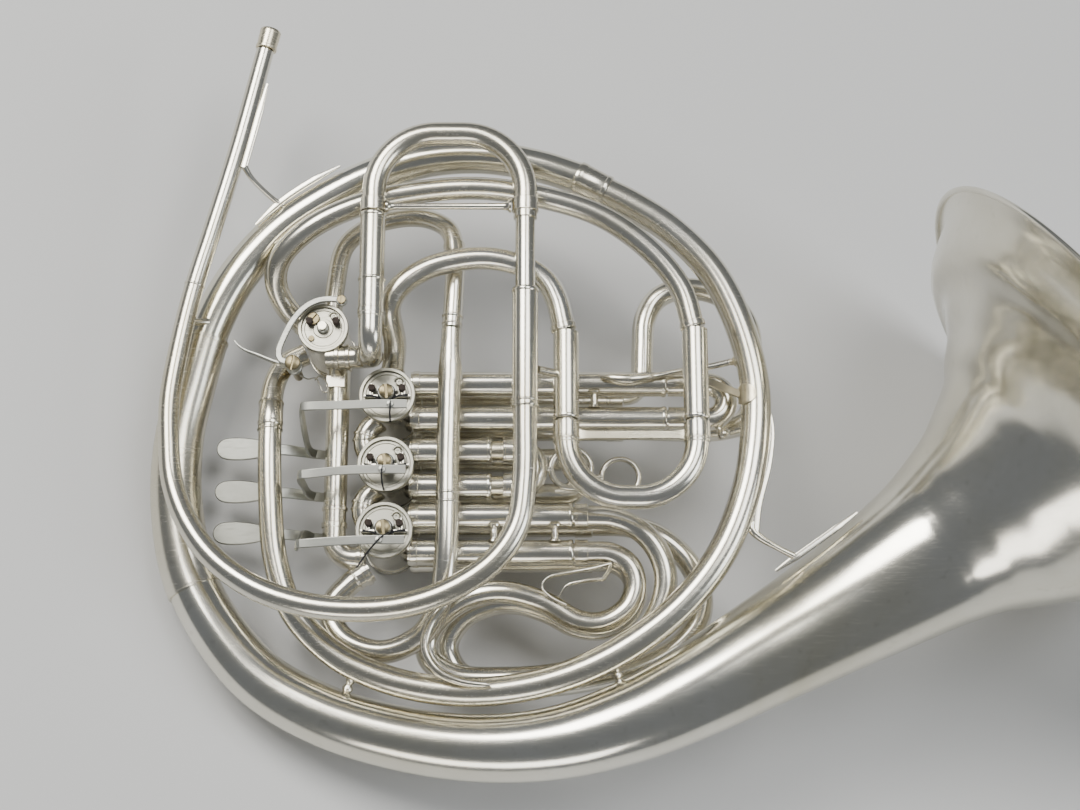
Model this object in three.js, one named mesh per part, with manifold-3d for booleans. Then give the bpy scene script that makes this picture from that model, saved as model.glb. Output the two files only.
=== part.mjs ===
// A double french horn with a fixed bell, string-action rotary valves and eight pull-out slides.
// Millimetres. The horn is drawn in its own plane: X across, Y along the finger levers' hinge,
// Z out of the plane on the lever side. The last lines lay it down on a table, +Z up.
import * as THREE from "three";
import { mergeVertices } from "three/addons/utils/BufferGeometryUtils.js";
import Module from "manifold-3d";

const wasm = await Module();
wasm.setup();
const { Manifold } = wasm;

// ---- driving dimensions ----
const GAP = 0.3; // left between two pieces that touch
const TUBE_R = 6.4; // outer radius of the slide tubing
const LEG_R = 5.4; // outer radius of a slide's inner leg
const SLEEVE_R = 6.9; // outer radius of a slide sleeve
const BORE_R = 6.2; // bore of a slide sleeve
const FERRULE_R = 7.3; // outer radius of a joint band on slide tubing
const BELL_R = 155; // radius of the bell's mouth
const BELL_WALL = 1.4;
const TAIL_WALL = 1.6;
const SIDES = 8; // facets round a tube

const FRONT_Z = -8; // plane of the Bb-side valve slides
const BACK_Z = -30; // plane of the F-side valve slides
const MAIN_Z = 40; // plane of the main tuning slide
const F_Z = 26; // plane of the F tuning slide
const C_Z = 14; // plane of the tube that crosses the valve slides
const RING_Z = 9; // plane of the big turn

const VALVE_X = -83; // the three finger valves stand in one row
const VALVE_Y = [2, -36.5, -72.5];
const ROW_Y = [[14, -6], [-24, -44], [-61, -81]]; // two slide rows of each finger valve
const THUMB = [-119, 40];
const CASING_R = 14;
const ROTOR_R = 10.3;
const PLATE_Z = 10; // front end of a casing
const BODY_BACK = -38; // back end of a casing

// ---- shape helpers ----
const v3 = (p) => new THREE.Vector3(p[0], p[1], p[2]);

function toManifold(geometry) {
  const g = geometry.clone();
  g.deleteAttribute("normal");
  g.deleteAttribute("uv");
  const m = mergeVertices(g, 1e-4);
  const mesh = new wasm.Mesh({
    numProp: 3,
    vertProperties: new Float32Array(m.attributes.position.array),
    triVerts: new Uint32Array(m.index.array),
  });
  return new Manifold(mesh);
}

// A smooth path through waypoints [x, y, z, radius].
function smooth(points) {
  const curve = new THREE.CatmullRomCurve3(points.map(v3), false, "centripetal");
  const out = [];
  const steps = 14;
  const n = points.length - 1;
  for (let i = 0; i < n; i++) {
    for (let k = 0; k < steps; k++) {
      const t = k / steps;
      const p = curve.getPoint((i + t) / n);
      out.push([p.x, p.y, p.z, points[i][3] * (1 - t) + points[i + 1][3] * t]);
    }
  }
  out.push(points[n]);
  return thin(out);
}

// Keeps the stations where the path has turned or its radius has changed.
function thin(stations, turn = 0.26) {
  const kept = [stations[0]];
  let last = v3(stations[1]).sub(v3(stations[0])).normalize();
  for (let i = 1; i < stations.length - 1; i++) {
    const dir = v3(stations[i + 1]).sub(v3(stations[i])).normalize();
    const r0 = kept[kept.length - 1][3];
    if (dir.angleTo(last) > turn || Math.abs(stations[i][3] - r0) > 0.08 * r0) {
      kept.push(stations[i]);
      last = dir;
    }
  }
  kept.push(stations[stations.length - 1]);
  return kept;
}

// A path of straight runs joined by round bends: corners [x, y, z], one bend radius, one tube radius.
function bent(corners, bend, r) {
  const out = [[...corners[0], r]];
  for (let i = 1; i < corners.length - 1; i++) {
    const p = v3(corners[i]);
    const a = v3(corners[i - 1]).sub(p).normalize();
    const b = v3(corners[i + 1]).sub(p).normalize();
    const half = a.angleTo(b) / 2;
    const reach = bend / Math.tan(half);
    const centre = a.clone().add(b).normalize().multiplyScalar(bend / Math.sin(half)).add(p);
    const from = a.clone().multiplyScalar(reach).add(p).sub(centre);
    const to = b.clone().multiplyScalar(reach).add(p).sub(centre);
    const sweep = Math.PI - 2 * half;
    const n = Math.max(2, Math.ceil(sweep / 0.32));
    for (let k = 0; k <= n; k++) {
      const w = (k / n) * sweep;
      const q = from.clone().multiplyScalar(Math.sin(sweep - w) / Math.sin(sweep));
      q.addScaledVector(to, Math.sin(w) / Math.sin(sweep)).add(centre);
      out.push([q.x, q.y, q.z, r]);
    }
  }
  out.push([...corners[corners.length - 1], r]);
  return out;
}

// A closed round bar along stations [x, y, z, radius]; grow fattens it and lengthens its ends.
function bar(stations, grow = 0, sides = SIDES) {
  const pts = stations.map(v3);
  const n = pts.length;
  if (grow > 0) {
    pts[0].add(pts[0].clone().sub(pts[1]).setLength(grow));
    pts[n - 1].add(pts[n - 1].clone().sub(pts[n - 2]).setLength(grow));
  }
  const dirs = pts.map((p, i) => {
    const d = new THREE.Vector3();
    if (i > 0) d.add(p.clone().sub(pts[i - 1]).normalize());
    if (i < n - 1) d.add(pts[i + 1].clone().sub(p).normalize());
    return d.normalize();
  });
  let side = new THREE.Vector3(0, 0, 1);
  if (Math.abs(dirs[0].z) > 0.9) side.set(0, 1, 0);
  const position = [];
  const index = [];
  for (let i = 0; i < n; i++) {
    side.addScaledVector(dirs[i], -side.dot(dirs[i])).normalize();
    const up = dirs[i].clone().cross(side);
    const r = stations[i][3] + grow;
    for (let k = 0; k < sides; k++) {
      const a = ((k + 0.5) / sides) * 2 * Math.PI;
      const q = pts[i].clone().addScaledVector(side, r * Math.cos(a));
      q.addScaledVector(up, r * Math.sin(a));
      position.push(q.x, q.y, q.z);
    }
  }
  position.push(...pts[0].toArray(), ...pts[n - 1].toArray());
  const first = n * sides;
  for (let k = 0; k < sides; k++) {
    const j = (k + 1) % sides;
    index.push(first, j, k);
    index.push(first + 1, (n - 1) * sides + k, (n - 1) * sides + j);
    for (let i = 0; i < n - 1; i++) {
      const a = i * sides + k;
      const b = i * sides + j;
      index.push(a, b, a + sides);
      index.push(b, b + sides, a + sides);
    }
  }
  const g = new THREE.BufferGeometry();
  g.setAttribute("position", new THREE.Float32BufferAttribute(position, 3));
  g.setIndex(index);
  return toManifold(g);
}

const rod = (a, b, r, grow = 0, sides = SIDES) => bar([[...a, r], [...b, r]], grow, sides);

// A hollow tube between two points.
function pipe(a, b, r, bore) {
  const d = v3(b).sub(v3(a)).normalize();
  const far = v3(b).addScaledVector(d, 1).toArray();
  const near = v3(a).addScaledVector(d, -1).toArray();
  return rod(a, b, r).subtract(rod(near, far, bore));
}

function ball(p, r, grow = 0) {
  const g = new THREE.SphereGeometry(r + grow, 8, 6);
  g.translate(p[0], p[1], p[2]);
  return toManifold(g);
}

// A turned shape: profile points [radius, height] round an axis along Z at (x, y).
function turned(profile, x, y, segments = 18) {
  const pts = profile.map((p) => new THREE.Vector2(p[0], p[1]));
  const g = new THREE.LatheGeometry(pts, segments);
  g.rotateX(Math.PI / 2);
  g.translate(x, y, 0);
  const m = toManifold(g);
  return m.volume() < 0 ? flipped(g) : m;
}

function flipped(g) {
  const turnedGeometry = g.clone();
  const index = Array.from(turnedGeometry.index.array);
  for (let i = 0; i < index.length; i += 3) {
    [index[i + 1], index[i + 2]] = [index[i + 2], index[i + 1]];
  }
  turnedGeometry.setIndex(index);
  return toManifold(turnedGeometry);
}

const disc = (x, y, z0, z1, r, segments = 18) =>
  turned([[0, z0], [r, z0], [r, z1], [0, z1]], x, y, segments);

// A flat plate: outline points [x, y], from z0 to z1.
function plate(outline, z0, z1, grow = 0) {
  const shape = new THREE.Shape(outline.map((p) => new THREE.Vector2(p[0], p[1])));
  const g = new THREE.ExtrudeGeometry(shape, { depth: z1 - z0 + 2 * grow, bevelEnabled: false });
  g.translate(0, 0, z0 - grow);
  return toManifold(g);
}

// A flat strip that follows points [x, y, z], width across and thickness through, both ends square.
function strip(points, width, thick, across) {
  const w = v3(across).normalize();
  let made = null;
  for (let i = 0; i < points.length - 1; i++) {
    const a = v3(points[i]);
    const b = v3(points[i + 1]);
    const d = b.clone().sub(a);
    const g = new THREE.BoxGeometry(d.length() + thick * 0.8, width, thick);
    const x = d.clone().normalize();
    const y = w.clone().addScaledVector(x, -w.dot(x)).normalize();
    const z = x.clone().cross(y);
    const m = new THREE.Matrix4().makeBasis(x, y, z);
    m.setPosition(a.add(b).multiplyScalar(0.5));
    g.applyMatrix4(m);
    const piece = toManifold(g);
    made = made ? made.add(piece) : piece;
  }
  return made;
}

const join = (...solids) => solids.reduce((a, b) => a.add(b));

// ---- collecting the pieces ----
const horn = new THREE.Group();
const solids = {}; // the finished solids, by name
const keepOut = {}; // the same, fattened by the gap

const MATERIALS = {
  silver: [0xd8d4c6, 0.9, 0.22],
  worn: [0xcfc398, 0.9, 0.3],
  satin: [0xa9a9a2, 0.85, 0.45],
  brass: [0xc9a45c, 0.9, 0.3],
  cork: [0x2a221c, 0.0, 0.9],
};

function add(name, make, material, clear = []) {
  let solid = make(0);
  for (const other of clear) solid = solid.subtract(keepOut[other]);
  solids[name] = solid;
  keepOut[name] = make(GAP);
  const m = solid.getMesh();
  const g = new THREE.BufferGeometry();
  g.setAttribute("position", new THREE.BufferAttribute(new Float32Array(m.vertProperties), 3));
  g.setIndex(new THREE.BufferAttribute(new Uint32Array(m.triVerts), 1));
  const flat = g.toNonIndexed();
  flat.computeVertexNormals();
  const [color, metalness, roughness] = MATERIALS[material];
  const mesh = new THREE.Mesh(
    flat,
    new THREE.MeshStandardMaterial({ color, metalness, roughness }),
  );
  mesh.name = name;
  horn.add(mesh);
}

// ---- valves: casing with its slide sleeves, rotor, front plate, stop arm, back cap ----
const rowFar = [83, -22, 18]; // where the Bb-side sleeves end, by valve
const rowFarBack = [40, -10, 22]; // where the F-side sleeves end

function sleeves(y, z, x0, x1) {
  return pipe([x0, y, z], [x1, y, z], SLEEVE_R, BORE_R)
    .add(pipe([x1 - 5, y, z], [x1, y, z], FERRULE_R, BORE_R));
}

const hollow = (x, y) => disc(x, y, BODY_BACK - 5, PLATE_Z + 5, ROTOR_R + 0.4);

VALVE_Y.forEach((y, i) => {
  const n = i + 1;
  const make = (grow) => {
    let s = disc(VALVE_X, y, BODY_BACK - grow, PLATE_Z + grow, CASING_R + grow);
    for (const row of ROW_Y[i]) {
      if (grow) {
        s = s.add(rod([VALVE_X, row, FRONT_Z], [rowFar[i], row, FRONT_Z], FERRULE_R, grow));
        s = s.add(rod([VALVE_X, row, BACK_Z], [rowFarBack[i], row, BACK_Z], FERRULE_R, grow));
      } else {
        s = s.add(sleeves(row, FRONT_Z, VALVE_X + 5, rowFar[i]));
        s = s.add(sleeves(row, BACK_Z, VALVE_X + 5, rowFarBack[i]));
      }
    }
    if (i === 1) {
      const ends = [VALVE_Y[0] - CASING_R - GAP + 1.6, VALVE_Y[2] + CASING_R + GAP - 1.6];
      s = s.add(rod([-91, ends[0], FRONT_Z], [-91, ends[1], FRONT_Z], TUBE_R, grow));
    }
    if (grow) return s;
    s = s.subtract(hollow(VALVE_X, y));
    for (const x of i === 2 ? [-25, 8] : i === 0 ? [30] : []) {
      const ends = [ROW_Y[i][0] - SLEEVE_R + 0.9, ROW_Y[i][1] + SLEEVE_R - 0.9];
      s = s.add(rod([x, ends[0], FRONT_Z], [x, ends[1], FRONT_Z], 1.8));
    }
    return s;
  };
  add("valve_casing_" + n, make, "silver", i === 0 ? [] : ["valve_casing_" + i]);
});

add("valve_casing_thumb", (grow) => {
  const s = disc(THUMB[0], THUMB[1], BODY_BACK - grow, PLATE_Z + grow, 12.6 + grow);
  return grow ? s : s.subtract(disc(THUMB[0], THUMB[1], -60, 60, 9.2));
}, "silver");

const VALVES = [
  ...VALVE_Y.map((y, i) => ["" + (i + 1), VALVE_X, y, CASING_R, ROTOR_R]),
  ["thumb", THUMB[0], THUMB[1], 12.6, 8.8],
];

for (const [n, x, y, r, rr] of VALVES) {
  add("rotor_" + n, (grow) => join(
    disc(x, y, BODY_BACK + 3 - grow, PLATE_Z - GAP + grow, rr + grow),
    disc(x, y, PLATE_Z - 1, PLATE_Z + 9.5 + grow, 2.3 + grow, 12),
  ), "silver");
  add("valve_plate_" + n, (grow) => {
    const rim = [[3.0, 0.3], [r + 1, 0.3], [r + 1, 4.6], [r - 0.8, 4.6], [r - 0.8, 3.0], [3.0, 3.0],
      [3.0, 0.3]];
    const body = turned(rim.map((p) => [p[0], PLATE_Z + p[1]]), x, y);
    if (grow) return disc(x, y, PLATE_Z - grow, PLATE_Z + 4.6 + grow, r + 1 + grow);
    const cork = [-1, 1].map((s) => {
      const g = new THREE.BoxGeometry(3, 5, 3.4);
      g.translate(x + s * (r - 3.2), y + 4.5, PLATE_Z + 4.4);
      return toManifold(g);
    });
    return join(body, ...cork);
  }, "silver");
  add("stop_arm_" + n, (grow) => {
    const z = PLATE_Z + 5.2;
    const hub = disc(x, y, z - grow, z + 3.6 + grow, 4.6 + grow, 12);
    const arm = plate([[x - 2, y], [x - 2, y - r + 4.5], [x + 2, y - r + 4.5], [x + 2, y]], z, z + 2.4, grow);
    const all = hub.add(arm);
    return grow ? all : all.subtract(disc(x, y, z - 5, z + 8, 2.8, 12));
  }, "satin");
  add("back_cap_" + n, () => turned(
    [[0, BODY_BACK - 6], [r - 3, BODY_BACK - 6], [r + 1, BODY_BACK - 4], [r + 1, BODY_BACK - GAP],
      [0, BODY_BACK - GAP]],
    x, y,
  ), "silver");
}

// ---- the big turn: first branch, ferrule, bell tail and bell ----
const branch = smooth([
  [-131, 31, -7, 6.2], [-141, 25, -5, 6.2], [-146.5, 12, 0, 6.2], [-147, -10, 6, 6.3], [-145, -55, 9, 6.5],
  [-141, -88, 9, 6.7], [-131, -115, 9, 7], [-110, -137, 9, 7.2], [-84, -150, 9, 7.5],
  [-52, -157, 9, 7.7], [-21, -157, 9, 7.8], [12, -150, 9, 7.9], [43, -136, 9, 8], [74, -113, 9, 8],
  [97, -84, 9, 8.1], [111, -50, 9, 8.1], [117, -16, 9, 8.2], [117, 12, 9, 8.2], [109, 46, 9, 8.3],
  [95, 75, 9, 8.3], [73, 99, 9, 8.4], [51, 114, 9, 8.5], [38, 121, 9, 8.5],
]);
const tail = smooth([
  [21, 130, 9, 9], [0, 137, 9, 9.2], [-32, 142.5, 9, 9.4], [-62, 141, 9, 9.7], [-90, 133, 9, 10.1],
  [-118, 118.5, 9, 10.4], [-146, 98.5, 8, 10.8], [-167.5, 73, 7, 11], [-182, 44.5, 5, 11.3],
  [-191, 11, 3, 11.6], [-197, -20, 2, 12.1], [-197, -54, 1, 12.7], [-189, -92, 0, 13.6],
  [-173, -122, 0, 14.5], [-148, -150, 0, 15.2], [-116, -168, 0, 16],
]);
const RIM = [309, -14.8, 0];
const bellAxis = [
  [-115, -168.5, 0, 16], [-73, -181, 0, 16.8], [-31, -186, 0, 17.6], [10, -183, 0, 19.3], [50, -171.5, 0, 22.4],
  [84, -155.5, -1, 25.2], [116, -137, -3, 28], [148, -120, -6, 31.5], [180, -103, -8, 36],
];

// The mouth's direction, and the flare: distance back from the mouth, drop of the axis, radius.
const MOUTH = new THREE.Vector3(0.84, 0.531, 0.113).normalize();
const DROP = new THREE.Vector3(0.534, -0.845, 0).normalize();
const FLARE = [[116, 2.8, 43.3], [95, 3.5, 49.7], [76, 4, 59.5], [60, 3.5, 69], [46, 3, 78.5], [34, 2, 90],
  [24, 1.3, 103.5], [15, 0.7, 119.5], [7, 0, 137.5], [0, 0, BELL_R]];
for (const [back, drop, r] of FLARE) {
  const p = v3(RIM).addScaledVector(MOUTH, -back).addScaledVector(DROP, drop);
  bellAxis.push([p.x, p.y, p.z, r]);
}
const bellPath = smooth(bellAxis.slice(0, 9)).concat(bellAxis.slice(9));
const last = bellPath.length - 1;

add("bell", (grow) => {
  const out = bar(bellPath, grow, 22);
  if (grow) return out;
  const inner = bellPath.map((p) => [p[0], p[1], p[2], p[3] - BELL_WALL]);
  const e0 = v3(inner[0]).add(v3(inner[0]).sub(v3(inner[1])).setLength(1)).toArray();
  const e1 = v3(inner[last]).addScaledVector(MOUTH, 1).toArray();
  inner[0] = [...e0, inner[0][3]];
  inner[last] = [...e1, inner[last][3] + 1.2];
  return out.subtract(bar(inner, 0, 22));
}, "silver");

add("bell_rim_wire", () => {
  const g = new THREE.TorusGeometry(BELL_R + 0.6, 1.5, 5, 30);
  g.applyQuaternion(new THREE.Quaternion().setFromUnitVectors(new THREE.Vector3(0, 0, 1), MOUTH));
  const p = v3(RIM).addScaledVector(MOUTH, 2.1);
  g.translate(p.x, p.y, p.z);
  return toManifold(g);
}, "silver");

add("bell_tail", (grow) => {
  if (grow) return bar(tail, grow, 12);
  const inner = tail.map((p) => [p[0], p[1], p[2], p[3] - TAIL_WALL]);
  inner[0] = [22, 129.6, 9, inner[0][3]];
  inner[inner.length - 1] = [-114.4, -168.9, 0, inner[inner.length - 1][3]];
  return bar(tail, 0, 12).subtract(bar(inner, 0, 12));
}, "silver", ["bell"]);
add("first_branch", (grow) => bar(branch, grow, 10), "silver", ["bell", "bell_tail", "valve_casing_thumb"]);
add("branch_ferrule", (grow) => {
  const a = branch[branch.length - 1];
  const b = tail[0];
  const mid = [[a[0] + 0.5, a[1] - 0.3, 9, 9.4], [b[0] - 0.5, b[1] + 0.3, 9, 9.8]];
  return bar(mid, grow, 12);
}, "silver", ["first_branch", "bell_tail"]);

add("hand_guard", (grow) => {
  const span = tail.filter((p) => p[1] < 40 && p[1] > -104 && p[0] < -150);
  const outer = bar(span.map((p) => [p[0], p[1], p[2], p[3] + 1.3]), grow, 12);
  if (grow) return outer;
  return outer.subtract(bar(tail.map((p) => [p[0], p[1], p[2], p[3] + GAP]), 0, 12));
}, "silver");

// ---- leadpipe and main tuning slide ----
const lead = smooth([
  [-154.5, 198, 30, 4.9], [-167.5, 139, 29, 5.1], [-179.5, 92, 28, 5.2], [-188.5, 58, 27, 5.3],
  [-195, 23, 27, 5.4], [-198, -5, 28, 5.5], [-197, -27, 29, 5.5], [-194, -49, 30, 5.8],
  [-185, -71, 33, 6], [-170, -91, 36, 6.2], [-148, -107, 39, 6.4], [-123, -116, 40, 6.5],
  [-97, -119, 40, 6.5], [-70, -117, 40, 6.5], [-46, -109, 40, 6.5], [-24, -94, 40, 6.5],
  [-12, -76, 40, 6.5], [-8.4, -54, 40, 6.5], [-8, -12, 40, 6.5],
]);
add("leadpipe", (grow) => bar(lead, grow), "silver");
add("mouthpiece_receiver", (grow) => {
  const a = [-154.2, 198.6, 30];
  const b = [-151.7, 210.5, 30];
  return grow ? rod(a, b, 6, grow, 12) : pipe(a, b, 6, 4);
}, "worn", ["leadpipe"]);

add("main_sleeve_right", (grow) => {
  const a = [-8, -11.6, MAIN_Z];
  const b = [-8, 54, MAIN_Z];
  if (grow) return rod(a, b, SLEEVE_R, grow);
  return join(pipe(a, b, SLEEVE_R, BORE_R), pipe([-8, 50, MAIN_Z], b, FERRULE_R, BORE_R));
}, "silver");
add("main_sleeve_left", (grow) => {
  const a = [-90.5, 38, MAIN_Z];
  const b = [-90.5, 97, MAIN_Z];
  const elbow = bent([[-90.5, 44, MAIN_Z], [-90.5, 17, MAIN_Z], [-92, 25, 9], [-117, 25, 7]], 11, TUBE_R);
  if (grow) return join(rod(a, b, SLEEVE_R, grow), bar(elbow, grow));
  const tube = rod(a, b, SLEEVE_R).subtract(rod([-90.5, 44, MAIN_Z], [-90.5, 99, MAIN_Z], BORE_R));
  return join(tube, pipe([-90.5, 93, MAIN_Z], b, FERRULE_R, BORE_R), bar(elbow));
}, "silver", ["valve_casing_thumb", "valve_plate_thumb", "valve_casing_1", "valve_plate_1"]);

const mainArch = bent([[-8, 94, MAIN_Z], [-8, 143.5, MAIN_Z], [-90.5, 143.5, MAIN_Z], [-90.5, 98, MAIN_Z]], 34, TUBE_R);
add("main_tuning_slide", (grow) => join(
  bar(mainArch, grow),
  rod([-8, 0, MAIN_Z], [-8, 97, MAIN_Z], LEG_R, grow),
  rod([-90.5, 48, MAIN_Z], [-90.5, 101, MAIN_Z], LEG_R, grow),
  rod([-8, 93, MAIN_Z], [-8, 103, MAIN_Z], FERRULE_R, grow),
  rod([-90.5, 97.4, MAIN_Z], [-90.5, 105, MAIN_Z], FERRULE_R, grow),
), "silver");
add("main_slide_brace", (grow) => join(
  rod([-83, 101, MAIN_Z], [-15.5, 101, MAIN_Z], 2, grow),
  rod([-85, 101, MAIN_Z], [-81, 101, MAIN_Z], 3.4, grow),
  rod([-17.5, 101, MAIN_Z], [-13, 101, MAIN_Z], 3.4, grow),
), "silver", ["main_tuning_slide"]);

// ---- F branch and F tuning slide ----
const fUpper = smooth([
  [-129, 46, -6, 6.3], [-140, 54, 1, 6.3], [-146, 66, 11, 6.3], [-143, 78, 20, 6.3], [-127, 93, 26, 6.3],
  [-99, 107, 27, 6.3], [-66, 115, 26, 6.3], [-33, 117, 26, 6.3], [0, 112, 26, 6.3],
  [33, 101, 26, 6.3], [60, 81, 26, 6.3], [77, 58, 26, 6.3], [83, 36, 26, 6.3],
]);
add("f_branch_upper", (grow) => bar(fUpper, grow), "silver", ["valve_casing_thumb"]);
const fLower = smooth([
  [13, 34.5, 26, 6.3], [9, 52, 26, 6.3], [3, 63, 26, 6.3], [-8, 71, 26, 6.3], [-27, 76, 26, 6.3],
  [-45, 75, 26, 6.3], [-62, 70, 26, 6.3], [-76, 60, 26, 6.3], [-82, 50, 23, 6.3], [-80, 33, 5, 6.3],
  [-83, 13, -8, 6.3],
]);
add("f_branch_lower", (grow) => bar(fLower, grow), "silver", ["valve_casing_1", "main_sleeve_left", "valve_plate_1"]);

for (const [name, x, top] of [["f_sleeve_right", 83.7, 35.2], ["f_sleeve_left", 14, 33.6]]) {
  add(name, (grow) => {
    const a = [x, top, F_Z];
    const b = [x, -15, F_Z];
    if (grow) return rod(a, b, FERRULE_R, grow);
    return join(pipe(a, b, SLEEVE_R, BORE_R), pipe([x, -11, F_Z], b, FERRULE_R, BORE_R));
  }, "silver", ["f_branch_upper", "f_branch_lower"]);
}
const fBow = bent([[83.7, -20, F_Z], [83.7, -55, F_Z], [14, -55, F_Z], [14, -20, F_Z]], 31, TUBE_R);
add("f_tuning_slide", (grow) => join(
  bar(fBow, grow),
  rod([83.7, 24, F_Z], [83.7, -22, F_Z], LEG_R, grow),
  rod([14, 24, F_Z], [14, -22, F_Z], LEG_R, grow),
  rod([83.7, -19, F_Z], [83.7, -25, F_Z], FERRULE_R, grow),
  rod([14, -19, F_Z], [14, -25, F_Z], FERRULE_R, grow),
  rod([18, -24, F_Z], [80, -24, F_Z], 2, grow),
), "silver");

// ---- tubes that link the valves ----
const cTube = smooth([
  [-49, 32, C_Z, 6.4], [-49.5, -30, C_Z, 6.4], [-50, -88, C_Z, 6.4], [-53, -110, 9, 6.4],
  [-63, -127, 2, 6.4], [-84, -135.5, -2, 6.4], [-105, -128, -5, 6.4], [-113, -112, -8, 6.4],
  [-104, -99, -8, 6.4], [-88, -88, -8, 6.4],
]);
add("cross_tube", (grow) => {
  const point = bar([[-48.4, 42, C_Z - 0.4, 5.4], [-49, 31, C_Z, 6.4]], grow);
  return bar(cTube, grow).add(point);
}, "silver", ["valve_casing_3", "leadpipe"]);
const cTop = smooth([
  [-119, 51, -24, 5.4], [-117, 76, -22, 5.4], [-112, 98, -18, 5.4], [-100, 108, -14, 5.4],
  [-82, 112, -8, 5.4], [-64, 109, 0, 5.4], [-51, 99, 8, 5.4], [-47.3, 84, 12, 5.4],
  [-47.5, 60, 13, 5.4], [-48.2, 43, 13.6, 5.4],
]);
add("cross_tube_top", (grow) => join(
  bar(cTop, grow),
  rod([-47.5, 84, 12.6], [-47.5, 90, 11.6], 6.3, grow),
), "silver", ["valve_casing_thumb", "cross_tube", "f_branch_lower"]);
const eTube = bent([[-112, 30, FRONT_Z], [-112, -84, FRONT_Z], [-93, -84, FRONT_Z]], 11, TUBE_R);
add("valve_link_tube", (grow) => join(
  bar(eTube, grow),
  rod([-112, -57, FRONT_Z], [-112, -67, FRONT_Z], FERRULE_R, grow),
), "silver", ["valve_casing_thumb", "valve_casing_3", "main_sleeve_left", "cross_tube"]);
// ---- valve slides ----
function crook(name, legs, path, extras = () => []) {
  add(name, (grow) => join(
    ...legs.map(([x0, x1, y, z]) => rod([x0, y, z], [x1, y, z], LEG_R, grow)),
    ...legs.map(([, x1, y, z]) => rod([x1 - 6, y, z], [x1 + 2, y, z], FERRULE_R, grow)),
    bar(path, grow),
    ...extras(grow),
  ), "silver");
}
const pull = (x, y, z, r, grow) => {
  const g = new THREE.TorusGeometry(r, 1.1 + grow, 5, 14);
  g.translate(x, y, z);
  return toManifold(g);
};
const bow = (x, y0, y1, z, reach) =>
  bent([[x, y0, z], [x + reach, y0, z], [x + reach, y1, z], [x, y1, z]], Math.abs(y0 - y1) / 2 - 0.01, TUBE_R);

crook("slide_1_front", [[40, 90.5, 14, FRONT_Z], [40, 90.5, -6, FRONT_Z]],
  bow(90, 14, -6, FRONT_Z, 13),
  (g) => [rod([107, 4, FRONT_Z], [117, 4, FRONT_Z], 1.8, g), ball([118, 4, FRONT_Z], 3, g)]);
crook("slide_2_front", [[-52, -14, -24, FRONT_Z], [-52, -14, -44, FRONT_Z]],
  bow(-14, -24, -44, FRONT_Z, 12),
  (g) => [pull(17, -34, FRONT_Z, 11, g), rod([2, -34, FRONT_Z], [7, -34, FRONT_Z], 1.6, g)]);
crook("slide_3_front", [[-22, 26, -61, FRONT_Z], [-22, 26, -81, FRONT_Z]],
  smooth([[26, -61, -8, 6.3], [40, -62, -8, 6.3], [55, -69, -8, 6.3], [65, -82, -8, 6.3], [68, -98, -8, 6.3],
    [61, -118, -10, 6.3], [46, -132, -14, 6.3], [28, -141, -15, 6.3], [8, -146, -15, 6.3],
    [-20, -148, -16, 6.3], [-46, -146, -17, 6.3], [-60, -137, -17, 6.3], [-60, -124, -16, 6.3],
    [-50, -112, -12, 6.3], [-36, -104.5, -9, 6.3], [-20, -102.5, -8, 6.3], [2, -108, -8, 6.3],
    [20, -118, -8, 6.3], [34, -119, -8, 6.3], [47, -111, -8, 6.3], [51.5, -99, -8, 6.3],
    [48, -87.5, -8, 6.3], [38, -81.5, -8, 6.3], [26, -81, -8, 6.3]]));
crook("slide_1_back", [[0, 47, 14, BACK_Z], [0, 47, -6, BACK_Z]],
  smooth([[47, 14, -30, 6.3], [52, 15, -30, 6.3], [57, 22, -30, 6.3], [58.5, 40, -30, 6.3],
    [60, 58, -30, 6.3], [67, 71, -30, 6.3], [80, 77, -30, 6.3], [96, 76, -30, 6.3], [110, 69, -30, 6.3],
    [119, 55, -30, 6.3], [121, 36, -30, 6.3], [121, 12, -30, 6.3], [116, -1, -30, 6.3],
    [104, -6, -30, 6.3], [47, -6, -30, 6.3]]));
crook("slide_2_back", [[-42, -3, -24, BACK_Z], [-42, -3, -44, BACK_Z]],
  bow(-3, -24, -44, BACK_Z, 26),
  (g) => [pull(45, -34, BACK_Z, 10.5, g), rod([27, -34, BACK_Z], [35, -34, BACK_Z], 1.6, g)]);
crook("slide_3_back", [[-12, 29, -61, BACK_Z], [-12, 29, -81, BACK_Z]],
  smooth([[29, -61, -30, 6.3], [50, -62, -30, 6.3], [68, -69, -30, 6.3], [82, -82, -31, 6.3],
    [89, -98, -33, 6.3], [88, -113, -35, 6.3], [77, -127, -36, 6.3], [58, -138, -35, 6.3],
    [30, -146, -34, 6.3], [0, -150, -34, 6.3], [-28, -149, -34, 6.3], [-45, -142, -34, 6.3],
    [-51, -129, -33, 6.3], [-44, -115, -31, 6.3], [-30, -107, -30, 6.3], [-14, -105, -30, 6.3],
    [4, -110, -30, 6.3], [20, -118, -30, 6.3], [35, -119, -30, 6.3], [48, -112, -30, 6.3],
    [53, -100, -30, 6.3], [50, -88.5, -30, 6.3], [41, -82, -30, 6.3], [29, -81, -30, 6.3]]));

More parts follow.
